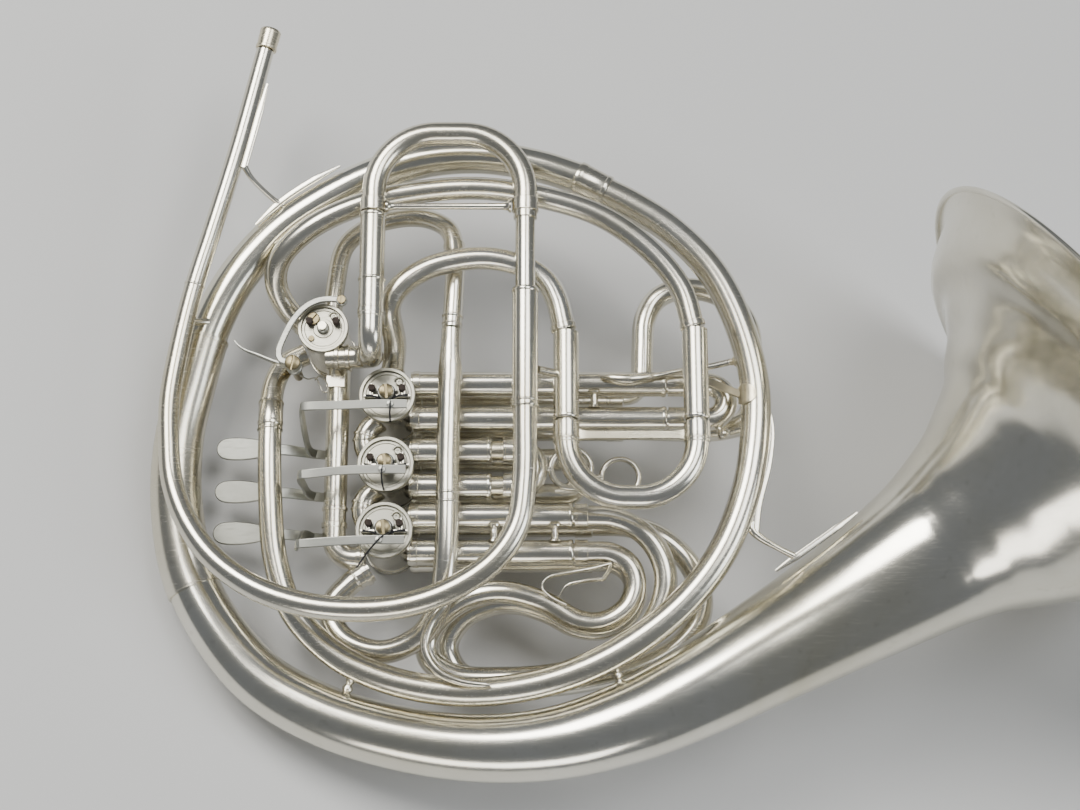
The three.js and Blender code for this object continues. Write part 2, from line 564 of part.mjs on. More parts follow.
// ---- levers ----
const HINGE = [-112, -21]; // x and z of the finger levers' hinge rod
const PAD_Y = [-24, -48, -71];
const BAR_Y = [-6, -42, -80];
const BARREL_Y = [[-20, -32], [-38, -51], [-63, -76]];
add("lever_hinge_rod", (grow) => join(
  rod([HINGE[0], 6, HINGE[1]], [HINGE[0], -82, HINGE[1]], 1.6, grow),
  strip([[HINGE[0], 3, HINGE[1] - 1], [HINGE[0], 3, -12]], 5 + 2 * grow, 3 + 2 * grow, [0, 1, 0]),
  strip([[HINGE[0], -79, HINGE[1] - 1], [HINGE[0], -79, -12]], 5 + 2 * grow, 3 + 2 * grow, [0, 1, 0]),
), "silver", ["valve_link_tube", "cross_tube"]);
PAD_Y.forEach((y, i) => {
  const n = i + 1;
  add("finger_lever_" + n, () => {
    const [b0, b1] = BARREL_Y[i];
    const barrel = rod([HINGE[0], b0, HINGE[1]], [HINGE[0], b1, HINGE[1]], 3);
    const arm = strip([[-152, y, -4], [-140, y, -6], [-126, y, -15], [-114, y, -20.5]], 5.5, 2.2, [0, 1, 0]);
    const pad = plate([[-148, y + 3.6], [-156, y + 5.6], [-168, y + 6.5], [-174, y + 5.2], [-176.5, y],
      [-174, y - 5.2], [-168, y - 6.5], [-156, y - 5.6], [-148, y - 3.6]], -5, -2.8);
    const bary = BAR_Y[i];
    const riser = strip([[-125, y, -15], [-127.5, y * 0.7 + bary * 0.3, 3], [-128.5, bary - 1.5, 23.5],
      [-72, bary, 23.5]], 5, 2, [0.3, 1, 0]);
    const bore = rod([HINGE[0], b0 + 1, HINGE[1]], [HINGE[0], b1 - 1, HINGE[1]], 2.1);
    return join(barrel, arm, pad, riser).subtract(bore);
  }, "satin");
});

// ---- thumb lever with its hinge post ----
const PIVOT = [-134, 18];
add("thumb_lever", (grow) => {
  const blade = strip([[-134, 18, 14], [-142, 19.6, 14], [-149, 22.3, 14], [-155.5, 25, 14], [-161, 27.2, 14],
    [-166.5, 31, 14]], 5.5 + 2 * grow, 1.6 + 2 * grow, [0, 0, 1]);
  const knob = disc(PIVOT[0], PIVOT[1], 11.5 - grow, 20.5 + grow, 4.2 + grow, 12);
  const link = plate([[-136.3, 17.2], [-142.9, 23.6], [-140.3, 33.7], [-133.8, 44.4], [-126, 52.2], [-114, 56],
    [-107.3, 56], [-107.3, 52.4], [-113.2, 52.4], [-124, 49], [-130.8, 42.2], [-136.8, 32.3], [-139, 24.5],
    [-133.5, 20]], 17.2, 19.2, grow);
  const all = join(blade, knob, link);
  return grow ? all : all.subtract(disc(PIVOT[0], PIVOT[1], 5, 22, 2, 12));
}, "satin");
add("thumb_lever_post", (grow) => disc(PIVOT[0], PIVOT[1], -6 - grow, 21 + grow, 1.6 + grow, 12),
  "brass", ["first_branch", "valve_casing_thumb"]);

// ---- braces and hooks ----
add("leadpipe_brace", () => join(
  strip([[-152.4, 178, 30], [-158.5, 150, 29.5], [-163.8, 127, 29]], 4, 1.6, [0, 0, 1]),
  bar([[-163.4, 127, 29, 1.5], [-154, 118, 22, 1.5], [-143.5, 111, 15, 1.5]]),
  strip([[-152, 107, 16], [-139, 118, 16]], 4, 1.6, [0, 0, 1]),
), "silver", ["bell_tail"]);
add("bell_brace", () => join(
  strip([[128, -8, 10], [124, -40, 9], [115, -72, 8]], 4, 1.6, [0, 0, 1]),
  bar([[116, -72, 8, 1.6], [138, -86, 5, 1.6]]),
  strip([[127, -94, 4], [145, -81, 4], [169, -64, 4]], 4, 1.6, [0, 0, 1]),
), "silver", ["first_branch", "bell"]);
add("ring_leadpipe_flange", (grow) => rod([-192, 40, 25], [-181, 44, 12], 2.6, grow), "silver",
  ["leadpipe", "bell_tail", "hand_guard"]);
[["ring_post_left", [-98, -150, 8], [-103, -160, 4]], ["ring_post_right", [40, -144, 8], [42, -154, 4]],
  ["ring_post_top", [-143, 80, 21], [-148, 95, 8]]].forEach(([name, a, b]) => {
  add(name, (grow) => rod(a, b, 2.6, grow), "silver", ["first_branch", "bell_tail", "bell", "f_branch_upper"]);
});
add("slide_stay", () => join(
  plate([[34, 17], [50, 20.5], [66, 19], [86, 20.5], [112, 27], [112, 24], [90, 16.5], [66, 14], [50, 12.5]], -0.5, 1.3),
), "silver", ["valve_casing_1", "first_branch"]);
add("pinky_hook", () => bar(smooth([
  [-49, -103, 20, 2.6], [-58, -116, 19, 2.6], [-60, -130, 18, 2.4], [-53, -140, 18, 2.3], [-42, -145, 18, 2.2],
  [-30, -146, 18, 2],
]), 0, 8), "silver", ["cross_tube", "first_branch", "leadpipe"]);

// ---- laid on the table: it rests on the bell's rim and on two back caps ----
const REST_TILT_X = 4.331; // degrees
const REST_TILT_Y = -14.274;
const rad = Math.PI / 180;
horn.rotation.set(REST_TILT_X * rad, REST_TILT_Y * rad, 0);
const box = new THREE.Box3().setFromObject(horn, true);
const middle = box.getCenter(new THREE.Vector3());
horn.position.set(-middle.x, -middle.y, -box.min.z);

const part = new THREE.Group();
part.name = "french_horn";
part.add(horn);
export default part;
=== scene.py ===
"""A double french horn, laid on the floor like the CAD part.

Points are given in the horn's own frame, in millimetres: x across it, y up it, z out of its front.
"""

import math

import bpy
from mathutils import Matrix, Vector


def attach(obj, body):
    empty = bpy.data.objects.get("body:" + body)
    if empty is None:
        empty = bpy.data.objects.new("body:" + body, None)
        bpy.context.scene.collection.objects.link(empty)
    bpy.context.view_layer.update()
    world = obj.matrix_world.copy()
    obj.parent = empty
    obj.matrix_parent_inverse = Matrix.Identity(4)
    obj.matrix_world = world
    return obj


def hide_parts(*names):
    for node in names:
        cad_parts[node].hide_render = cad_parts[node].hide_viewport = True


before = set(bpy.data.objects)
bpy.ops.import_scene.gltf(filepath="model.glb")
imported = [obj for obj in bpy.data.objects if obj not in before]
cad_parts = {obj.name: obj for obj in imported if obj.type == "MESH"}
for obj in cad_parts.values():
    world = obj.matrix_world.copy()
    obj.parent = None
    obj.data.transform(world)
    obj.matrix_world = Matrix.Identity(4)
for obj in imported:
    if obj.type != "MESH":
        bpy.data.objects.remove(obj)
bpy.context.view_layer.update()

MM = 0.001
# How the horn lies: tilted until its back caps and the bell's rim touch the floor.
REST_TILT_X = 4.331
REST_TILT_Y = -14.274
REST_SHIFT = (-96.512, -4.544, 71.219)
REST = (
    Matrix.Translation(REST_SHIFT)
    @ Matrix.Rotation(math.radians(REST_TILT_X), 4, "X")
    @ Matrix.Rotation(math.radians(REST_TILT_Y), 4, "Y")
)
ROUND = 28  # facets round a tube
FINE = 48  # facets round a turned piece
FLAT = 20  # degrees: edges of a flat bar stay crisp
POINT_R = 0.02  # a turned profile that closes on its axis ends in this radius

# Radii of the tubing: bent tube, inner leg of a slide, its sleeve, the sleeve's bore, a ferrule.
TUBE_R = 6.4
LEG_R = 5.4
SLEEVE_R = 6.9
BORE_R = 6.0
FERRULE_R = 7.3
# Depths of the layers: Bb slides, F slides, main slide, F branch, cross tube, valve faces, valve backs.
FRONT_Z = -8
BACK_Z = -30
MAIN_Z = 40
F_Z = 26
C_Z = 14
PLATE_Z = 10
BODY_BACK = -38
# Valves: centres, the two slide tubes of each, outside and rotor radii.
VALVE_X = -83
VALVE_Y = [2, -36.5, -72.5]
ROW_Y = [[14, -6], [-24, -44], [-61, -81]]
THUMB = (-119, 40)
VALVE_R = 14.0
ROTOR_R = 10.3
THUMB_VALVE_R = 12.6
THUMB_ROTOR_R = 8.8
BELL_R = 155
BELL_WIRE_R = 1.6
HORN = "horn"


def at(p):
    """A point of the horn's plane, in the scene's metres."""
    return (REST @ Vector(p[:3])) * MM


# ---- materials ----
def node(tree, kind, x, y, **values):
    n = tree.nodes.new(kind)
    n.location = (x, y)
    for key, value in values.items():
        if hasattr(n, key):
            setattr(n, key, value)
        else:
            n.inputs[key].default_value = value
    return n


def ramp(tree, x, y, stops):
    n = tree.nodes.new("ShaderNodeValToRGB")
    n.location = (x, y)
    elements = n.color_ramp.elements
    while len(elements) < len(stops):
        elements.new(0.5)
    for element, (place, color) in zip(elements, stops):
        element.position = place
        element.color = (*color, 1)
    return n


def metal(name, clean, dull, rough, scratch=0.14, spots=0.22, bump=0.01):
    """Metal with a cloudy tarnish, fine scratches and small spots."""
    m = bpy.data.materials.new(name)
    m.use_nodes = True
    tree = m.node_tree
    link = tree.links.new
    shader = tree.nodes["Principled BSDF"]
    shader.inputs["Metallic"].default_value = 1.0
    place = node(tree, "ShaderNodeTexCoord", -1400, 0)
    cloud = node(tree, "ShaderNodeTexNoise", -1100, 200, Scale=9.0, Detail=6.0, Roughness=0.6,
                 Distortion=0.4)
    spot = node(tree, "ShaderNodeTexNoise", -1100, -60, Scale=160.0, Detail=3.0, Roughness=0.5)
    fine = node(tree, "ShaderNodeTexNoise", -1100, -320, Scale=520.0, Detail=2.0, Roughness=0.6)
    stretch = node(tree, "ShaderNodeMapping", -1250, -600)
    stretch.inputs["Scale"].default_value = (1.0, 14.0, 3.0)
    stretch.inputs["Rotation"].default_value = (0.4, 0.9, 0.6)
    lines = node(tree, "ShaderNodeTexNoise", -1100, -600, Scale=90.0, Detail=4.0, Roughness=0.7)
    for n in (cloud, spot, fine, stretch):
        link(place.outputs["Object"], n.inputs["Vector"])
    link(stretch.outputs["Vector"], lines.inputs["Vector"])

    tone = ramp(tree, -800, 200, [(0.35, clean), (0.72, dull)])
    link(cloud.outputs["Fac"], tone.inputs["Fac"])
    dots = ramp(tree, -800, -60, [(0.62, (0, 0, 0)), (0.74, (spots, spots, spots))])
    link(spot.outputs["Fac"], dots.inputs["Fac"])
    mix = node(tree, "ShaderNodeMix", -480, 160, data_type="RGBA")
    link(dots.outputs["Color"], mix.inputs["Factor"])
    link(tone.outputs["Color"], mix.inputs["A"])
    mix.inputs["B"].default_value = (*[c * 0.62 for c in dull], 1)
    link(mix.outputs["Result"], shader.inputs["Base Color"])

    rubbed = ramp(tree, -800, -600, [(0.52, (rough,) * 3), (0.70, (rough + scratch * 0.5,) * 3)])
    link(lines.outputs["Fac"], rubbed.inputs["Fac"])
    cloudy = node(tree, "ShaderNodeMath", -480, -300, operation="MULTIPLY_ADD")
    link(cloud.outputs["Fac"], cloudy.inputs[0])
    cloudy.inputs[1].default_value = 0.12
    link(rubbed.outputs["Color"], cloudy.inputs[2])
    link(cloudy.outputs["Value"], shader.inputs["Roughness"])

    height = node(tree, "ShaderNodeMath", -480, -560, operation="MULTIPLY_ADD")
    link(lines.outputs["Fac"], height.inputs[0])
    height.inputs[1].default_value = 0.7
    link(fine.outputs["Fac"], height.inputs[2])
    bumps = node(tree, "ShaderNodeBump", -240, -480, Strength=bump, Distance=0.0004)
    link(height.outputs["Value"], bumps.inputs["Height"])
    link(bumps.outputs["Normal"], shader.inputs["Normal"])
    return m


def rough_stuff(name, light, dark, scale, rough, bump):
    """Cork, cord and other dull stuff."""
    m = bpy.data.materials.new(name)
    m.use_nodes = True
    tree = m.node_tree
    shader = tree.nodes["Principled BSDF"]
    shader.inputs["Roughness"].default_value = rough
    place = node(tree, "ShaderNodeTexCoord", -900, 0)
    grain = node(tree, "ShaderNodeTexNoise", -700, 0, Scale=scale, Detail=5.0, Roughness=0.7)
    tone = ramp(tree, -450, 100, [(0.3, dark), (0.7, light)])
    bumps = node(tree, "ShaderNodeBump", -250, -200, Strength=bump, Distance=0.0005)
    tree.links.new(place.outputs["Object"], grain.inputs["Vector"])
    tree.links.new(grain.outputs["Fac"], tone.inputs["Fac"])
    tree.links.new(tone.outputs["Color"], shader.inputs["Base Color"])
    tree.links.new(grain.outputs["Fac"], bumps.inputs["Height"])
    tree.links.new(bumps.outputs["Normal"], shader.inputs["Normal"])
    return m


SILVER = metal("nickel_silver", (0.77, 0.745, 0.66), (0.60, 0.555, 0.43), 0.16)
BELL_METAL = metal("bell_silver", (0.80, 0.78, 0.70), (0.64, 0.605, 0.48), 0.12, scratch=0.12, spots=0.2,
                   bump=0.008)
WORN = metal("worn_nickel", (0.74, 0.69, 0.54), (0.58, 0.50, 0.34), 0.22, scratch=0.35, bump=0.03)
SATIN = metal("satin_nickel", (0.50, 0.505, 0.46), (0.38, 0.38, 0.34), 0.33, scratch=0.35, bump=0.03)
PAD = metal("pad_nickel", (0.34, 0.345, 0.31), (0.25, 0.25, 0.22), 0.35, scratch=0.3, bump=0.03)
FACE = metal("face_nickel", (0.50, 0.49, 0.42), (0.35, 0.335, 0.27), 0.25, scratch=0.35, bump=0.03)
BRASS = metal("brass", (0.31, 0.265, 0.16), (0.19, 0.155, 0.085), 0.26, scratch=0.3, bump=0.03)
CORK = rough_stuff("cork", (0.07, 0.05, 0.04), (0.02, 0.016, 0.014), 700.0, 0.9, 0.6)
STRING = rough_stuff("string", (0.035, 0.035, 0.04), (0.006, 0.006, 0.007), 1500.0, 0.8, 0.8)


# ---- paths ----
def smooth_path(points, spacing=2.2):
    """Stations along a centripetal Catmull-Rom curve through [x, y, z, radius]."""
    pts = [Vector(p) for p in points]
    ext = [pts[0] * 2 - pts[1]] + pts + [pts[-1] * 2 - pts[-2]]
    out = []
    for i in range(len(pts) - 1):
        p0, p1, p2, p3 = ext[i : i + 4]
        t = [0.0]
        for a, b in ((p0, p1), (p1, p2), (p2, p3)):
            t.append(t[-1] + max(1e-4, (b - a).xyz.length ** 0.5))
        steps = max(2, int((p2 - p1).xyz.length / spacing))
        for k in range(steps):
            u = t[1] + (t[2] - t[1]) * k / steps
            a1 = p0.lerp(p1, (u - t[0]) / (t[1] - t[0]))
            a2 = p1.lerp(p2, (u - t[1]) / (t[2] - t[1]))
            a3 = p2.lerp(p3, (u - t[2]) / (t[3] - t[2]))
            b1 = a1.lerp(a2, (u - t[0]) / (t[2] - t[0]))
            b2 = a2.lerp(a3, (u - t[1]) / (t[3] - t[1]))
            out.append(tuple(b1.lerp(b2, (u - t[1]) / (t[2] - t[1]))))
    out.append(tuple(pts[-1]))
    return out


def bent_path(corners, bend, r, step=0.12):
    """Straight runs joined by round bends."""
    out = [(*corners[0], r)]
    for i in range(1, len(corners) - 1):
        p = Vector(corners[i])
        a = (Vector(corners[i - 1]) - p).normalized()
        b = (Vector(corners[i + 1]) - p).normalized()
        half = a.angle(b) / 2
        centre = p + (a + b).normalized() * (bend / math.sin(half))
        start = p + a * (bend / math.tan(half)) - centre
        end = p + b * (bend / math.tan(half)) - centre
        sweep = math.pi - 2 * half
        n = max(3, math.ceil(sweep / step))
        for k in range(n + 1):
            w = sweep * k / n
            from_start = math.sin(sweep - w) / math.sin(sweep)
            from_end = math.sin(w) / math.sin(sweep)
            out.append((*(centre + start * from_start + end * from_end), r))
    out.append((*corners[-1], r))
    return out


def lengths(path):
    total = [0.0]
    for a, b in zip(path, path[1:]):
        total.append(total[-1] + (Vector(b[:3]) - Vector(a[:3])).length)
    return total


def point_at(path, s):
    """Place, direction and radius at a length s along a path."""
    total = lengths(path)
    s = min(max(s, 0.0), total[-1])
    for i in range(len(path) - 1):
        if s <= total[i + 1] or i == len(path) - 2:
            a, b = Vector(path[i][:3]), Vector(path[i + 1][:3])
            w = (s - total[i]) / max(1e-6, total[i + 1] - total[i])
            return a.lerp(b, w), (b - a).normalized(), path[i][3] * (1 - w) + path[i + 1][3] * w
    return None


def nearest(path, p):
    """The length along a path at which it passes closest to a point."""
    total = lengths(path)
    best = min(range(len(path)), key=lambda i: (Vector(path[i][:3]) - Vector(p)).length)
    return total[best]


# ---- shapes ----
def circle(sides):
    """A unit circle as (side, up) points."""
    turns = [2 * math.pi * k / sides for k in range(sides)]
    return [(math.cos(t), math.sin(t)) for t in turns]


class Shape:
    """Collects closed shells in the horn's millimetres and makes one object of them."""

    def __init__(self):
        self.verts = []
        self.faces = []

    def rings(self, rings, closed=False):
        """Skins a list of rings with equal counts; ends get flat caps unless the list is closed."""
        base = len(self.verts)
        n = len(rings[0])
        for ring in rings:
            self.verts.extend(ring)
        count = len(rings)
        for i in range(count if closed else count - 1):
            a = base + i * n
            b = base + ((i + 1) % count) * n
            for k in range(n):
                j = (k + 1) % n
                self.faces.append((a + k, a + j, b + j, b + k))
        if not closed:
            self.faces.append(tuple(base + k for k in reversed(range(n))))
            self.faces.append(tuple(base + (count - 1) * n + k for k in range(n)))
        return self

    def swept(self, stations, section, up=None, closed=False):
        """Sweeps a section of (side, up) points along stations [x, y, z, radius]."""
        pts = [Vector(s[:3]) for s in stations]
        n = len(pts)
        side = Vector(up) if up else Vector((0, 0, 1))
        first = (pts[1] - pts[0]).normalized()
        if up is None and abs(first.z) > 0.9:
            side = Vector((0, 1, 0))
        rings = []
        for i in range(n):
            d = Vector((0, 0, 0))
            if i > 0:
                d += (pts[i] - pts[i - 1]).normalized()
            if i < n - 1:
                d += (pts[i + 1] - pts[i]).normalized()
            d.normalize()
            if up:
                side = Vector(up)
            side = (side - d * side.dot(d)).normalized()
            other = d.cross(side)
            r = stations[i][3]
            rings.append([tuple(pts[i] + side * (a * r) + other * (b * r)) for a, b in section])
        return self.rings(rings, closed)

    def tube(self, stations, sides=ROUND, grow=0.0):
        return self.swept([(*s[:3], s[3] + grow) for s in stations], circle(sides))

    def rod(self, a, b, r, sides=ROUND):
        return self.tube([(*a, r), (*b, r)], sides)

    def turned(self, a, axis, profile, sides=FINE, closed=False):
        """Turns a profile of (height, radius) about an axis through a."""
        a = Vector(a)
        d = Vector(axis).normalized()
        u = d.orthogonal().normalized()
        w = d.cross(u)
        rings = []
        for h, r in profile:
            r = max(r, POINT_R)
            rings.append([tuple(a + d * h + u * (r * p) + w * (r * q)) for p, q in circle(sides)])
        return self.rings(rings, closed)

    def band(self, path, s, width, grow=0.5, sides=ROUND + 4):
        """A rounded band round a tube, centred at a length s along its path."""
        half = width / 2
        stations = []
        for h, g in ((-half, -0.3), (-half, grow * 0.6), (-half + 0.35, grow), (half - 0.35, grow),
                     (half, grow * 0.6), (half, -0.3)):
            p, d, r = point_at(path, s)
            q = p + d * h
            stations.append((*q, r + g))
        return self.tube(stations, sides)

    def lip(self, a, axis, r=SLEEVE_R, bore=BORE_R, length=60.0, rim=2.4):
        """A hollow sleeve from a point a along an axis, with a rolled band at its far, open end."""
        profile = [
            (0, bore), (0, r), (length - rim, r), (length - rim, FERRULE_R - 0.15),
            (length - rim + 0.3, FERRULE_R), (length - 1.0, FERRULE_R), (length - 0.3, FERRULE_R - 0.2),
            (length, FERRULE_R - 0.6), (length, bore),
        ]
        return self.turned(a, axis, profile, ROUND + 4, closed=True)

    def ribbon(self, points, width, thick, up=(0, 0, 1), spacing=1.5, taper=None, edge=0.26):
        """A flat strip with rounded edges along a smooth line; up is the direction across it."""
        path = smooth_path([(*p, 1.0) for p in points], spacing)
        section = []
        e = min(thick, width) * edge
        for sx, sy in ((1, 1), (-1, 1), (-1, -1), (1, -1)):
            cx, cy = sx * (width / 2 - e), sy * (thick / 2 - e)
            start = {(1, 1): 0, (-1, 1): 90, (-1, -1): 180, (1, -1): 270}[(sx, sy)]
            for k in range(3):
                t = math.radians(start + 45 * k)
                section.append((cx + e * math.cos(t), cy + e * math.sin(t)))
        if taper:
            total = lengths(path)
            path = [(*p[:3], taper(s / total[-1])) for p, s in zip(path, total)]
        return self.swept(path, section, up)

    def plate(self, outline, z0, z1, edge=0.25):
        """A flat plate with softened edges, standing on the horn's plane."""
        cx = sum(p[0] for p in outline) / len(outline)
        cy = sum(p[1] for p in outline) / len(outline)

        def inset(amount):
            ring = []
            n = len(outline)
            for i in range(n):
                a, b, c = outline[i - 1], outline[i], outline[(i + 1) % n]
                d1 = Vector((b[0] - a[0], b[1] - a[1])).normalized()
                d2 = Vector((c[0] - b[0], c[1] - b[1])).normalized()
                m = Vector((-(d1 + d2).y, (d1 + d2).x))
                m = m.normalized() if m.length > 1e-6 else Vector((cx - b[0], cy - b[1])).normalized()
                ring.append((b[0] + m.x * amount, b[1] + m.y * amount))
            return ring

        area = sum(a[0] * b[1] - b[0] * a[1] for a, b in zip(outline, outline[1:] + outline[:1]))
        if area < 0:
            outline = outline[::-1]
        rings = []
        for z, amount in ((z0, edge), (z0 + edge, 0), (z1 - edge, 0), (z1, edge)):
            rings.append([(x, y, z) for x, y in (inset(amount) if amount else outline)])
        return self.rings(rings)

    def screw(self, p, r, height, angle=0.5, axis=(0, 0, 1), slot=0.26):
        """A slotted screw head: a turned base and two half discs with a real gap between them."""
        d = Vector(axis).normalized()
        u = d.orthogonal().normalized()
        u = Matrix.Rotation(angle, 3, d) @ u
        w = d.cross(u)
        p = Vector(p)
        self.turned(p, axis, [(0, 0), (0, r), (height * 0.55, r), (height * 0.55, 0)], 28)
        gap = r * slot / 2
        for s in (1, -1):
            arc = []
            start = math.asin(gap / r)
            for k in range(13):
                t = start + (math.pi - 2 * start) * k / 12
                arc.append((r * math.cos(t), s * r * math.sin(t)))
            rings = []
            for h, f in ((0.5, 1.0), (0.85, 1.0), (1.0, 0.86)):
                rings.append([
                    tuple(p + d * (height * h) + u * (a * f) + w * (s * gap + (b - s * gap) * f))
                    for a, b in arc
                ])
            if s < 0:
                rings = [ring[::-1] for ring in rings]
            self.rings(rings)
        return self

    def object(self, name, material, body=HORN, replaces=(), angle=38):
        mesh = bpy.data.meshes.new(name)
        mesh.from_pydata([at(v) for v in self.verts], [], self.faces)
        mesh.validate()
        mesh.shade_smooth()
        mesh.set_sharp_from_angle(angle=math.radians(angle))
        mesh.materials.append(material)
        obj = bpy.data.objects.new(name, mesh)
        bpy.context.scene.collection.objects.link(obj)
        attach(obj, body)
        if replaces:
            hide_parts(*replaces)
        return obj


def leaf_tip(w):
    """The width of a strip that is narrow at its start only."""
    return 0.35 + 0.65 * min(1, w * 3)


def leaf_foot(w):
    """The width of a strip that is narrow at both ends."""
    return 0.35 + 0.65 * min(1, min(w, 1 - w) * 4)


def leaf_arcs(x, y, z, inside, outside, middle, spread):
    """Outer and inner arc of a thin leaf that lies on a tube along y: its middle angle, half its spread."""
    line = [middle + spread * (2 * j / 10 - 1) for j in range(11)]
    outer = [(x + outside * math.cos(t), y, z + outside * math.sin(t)) for t in line]
    inner = [(x + inside * math.cos(t), y, z + inside * math.sin(t)) for t in reversed(line)]
    return outer, inner


def rounded(outline, steps):
    """Cuts the corners of an outline into a smooth closed curve."""
    for _ in range(steps):
        out = []
        for a, b in zip(outline, outline[1:] + outline[:1]):
            out.append((a[0] * 0.75 + b[0] * 0.25, a[1] * 0.75 + b[1] * 0.25))
            out.append((a[0] * 0.25 + b[0] * 0.75, a[1] * 0.25 + b[1] * 0.75))
        outline = out
    return outline


# ---- bell, tail, big turn ----
RIM = Vector((309, -14.8, 0))
MOUTH = Vector((0.84, 0.531, 0.113)).normalized()
DROP = Vector((0.534, -0.845, 0)).normalized()
TAIL_POINTS = [
    (21, 130, 9, 9), (0, 137, 9, 9.2), (-32, 142.5, 9, 9.4), (-62, 141, 9, 9.7), (-90, 133, 9, 10.1),
    (-118, 118.5, 9, 10.4), (-146, 98.5, 8, 10.8), (-167.5, 73, 7, 11), (-182, 44.5, 5, 11.3),
    (-191, 11, 3, 11.6), (-197, -20, 2, 12.1), (-197, -54, 1, 12.7), (-189, -92, 0, 13.6),
    (-173, -122, 0, 14.5), (-148, -150, 0, 15.2), (-114, -169, 0, 16.1),
]
BELL_AXIS = [
    (-73, -181, 0, 16.8), (-31, -186, 0, 17.7), (10, -183, 0, 19.3), (50, -171.3, -0.5, 22),
    (84, -155.2, -3, 25), (116, -137.2, -6.5, 28.3), (148, -119.2, -10, 32), (180, -100.6, -12.3, 36.8),
    (213.3, -80, -12.6, 43.6),
]
# Distance back from the rim plane, drop below its axis, radius.
FLARE = [(95, 3.9, 50.6), (76, 4, 59.6), (60, 3.6, 69), (46, 3, 78.5), (34, 2, 90),
         (24, 1.3, 103.5), (15, 0.7, 119.5), (7, 0, 137.5), (0, 0, BELL_R)]
WALL = 0.9
BELL_SIDES = 96
RADIUS_PASSES = 4
bell_points = TAIL_POINTS + BELL_AXIS
for back, drop, r in FLARE:
    bell_points.append((*(RIM - MOUTH * back + DROP * drop), r))
bell_path = smooth_path(bell_points, 2.0)
for _ in range(RADIUS_PASSES):
    middle = [
        (*b[:3], (a[3] + 2 * b[3] + c[3]) / 4) for a, b, c in zip(bell_path, bell_path[1:], bell_path[2:])
    ]
    bell_path = bell_path[:1] + middle + bell_path[-1:]
TAIL = smooth_path(TAIL_POINTS)


def bell_rings(grow):
    """The shell's rings, the wall's outside grown by an amount."""
    skin = Shape().swept([(*s[:3], s[3] + grow) for s in bell_path], circle(BELL_SIDES))
    return [skin.verts[i * BELL_SIDES : (i + 1) * BELL_SIDES] for i in range(len(bell_path))]


bell = Shape().rings(bell_rings(0) + bell_rings(-WALL)[::-1], closed=True)
bell.object("bell_shell", BELL_METAL, replaces=["bell", "bell_tail"])

wire = Shape()
u = MOUTH.orthogonal().normalized()
w = MOUTH.cross(u)
rim_centre = RIM + MOUTH * 1.2
WIRE_STEPS = 160
wire_rings = []
for k in range(WIRE_STEPS):
    t = 2 * math.pi * k / WIRE_STEPS
    out = u * math.cos(t) + w * math.sin(t)
    wire_rings.append([
        tuple(rim_centre + out * (BELL_R + 0.2 + BELL_WIRE_R * a) + MOUTH * (BELL_WIRE_R * b))
        for a, b in circle(14)
    ])
wire.rings(wire_rings, closed=True).object("rolled_rim", BELL_METAL, replaces=["bell_rim_wire"])

BRANCH = smooth_path([
    (-131, 31, -7, 6.2), (-141, 25, -5, 6.2), (-146.5, 12, 0, 6.2), (-147, -10, 6, 6.3),
    (-145, -55, 9, 6.5), (-141, -88, 9, 6.7), (-131, -115, 9, 7), (-110, -137, 9, 7.2),
    (-84, -150, 9, 7.5), (-52, -157, 9, 7.7), (-21, -157, 9, 7.8), (12, -150, 9, 7.9), (43, -136, 9, 8),
    (74, -113, 9, 8), (97, -84, 9, 8.1), (111, -50, 9, 8.1), (117, -16, 9, 8.2), (117, 12, 9, 8.2),
    (109, 46, 9, 8.3), (95, 75, 9, 8.3), (73, 99, 9, 8.4), (51, 114, 9, 8.5), (38, 121, 9, 8.5),
])
branch = Shape().tube(BRANCH, 32)
for y, width in ((-1, 1.4), (-8, 14.0), (-13, 1.6), (-16.4, 1.2)):
    branch.band(BRANCH, nearest(BRANCH, (-146.8, y, 4)), width, 0.75 if width < 3 else 0.45)
branch.object("big_turn", SILVER, replaces=["first_branch"])

ferrule_axis = Vector((21 - 38, 130 - 121, 0)).normalized()
ferrule = Shape().turned(
    (37.5, 121.2, 9), ferrule_axis,
    [(0, 8.6), (0, 9.1), (0.5, 9.5), (2.2, 9.6), (2.6, 9.3), (15.2, 9.6), (15.6, 9.9), (18.9, 9.9),
     (19.4, 9.6), (19.4, 8.8)], 40,
)
ferrule.object("turn_ferrule", SILVER, replaces=["branch_ferrule"])

guard_path = [s for s in TAIL if -104 < s[1] < 40 and s[0] < -150]
guard = Shape()
guard.tube([(*s[:3], s[3] + 1.2) for s in guard_path], 40)
guard.band(guard_path, 1.5, 2.4, 1.5, 40)
guard.band(guard_path, lengths(guard_path)[-1] - 1.2, 1.6, 1.35, 40)
guard.object("tail_guard", SILVER, replaces=["hand_guard"])

# ---- leadpipe and main tuning slide ----
LEAD = smooth_path([
    (-154.5, 198, 30, 4.9), (-167.5, 139, 29, 5.1), (-179.5, 92, 28, 5.2), (-188.5, 58, 27, 5.3),
    (-195, 23, 27, 5.4), (-198, -5, 28, 5.5), (-197, -27, 29, 5.5), (-194, -49, 30, 5.8),
    (-185, -71, 33, 6), (-170, -91, 36, 6.2), (-148, -107, 39, 6.4), (-123, -116, 40, 6.5),
    (-97, -119, 40, 6.5), (-70, -117, 40, 6.5), (-46, -109, 40, 6.5), (-24, -94, 40, 6.5),
    (-12, -76, 40, 6.5), (-8.4, -54, 40, 6.5), (-8, -12, 40, 6.5),
])
lead = Shape().tube(LEAD, 32)
lead.band(LEAD, nearest(LEAD, (-188, 60, 27)), 1.2, 0.35)
lead.object("lead_pipe", SILVER, replaces=["leadpipe"])

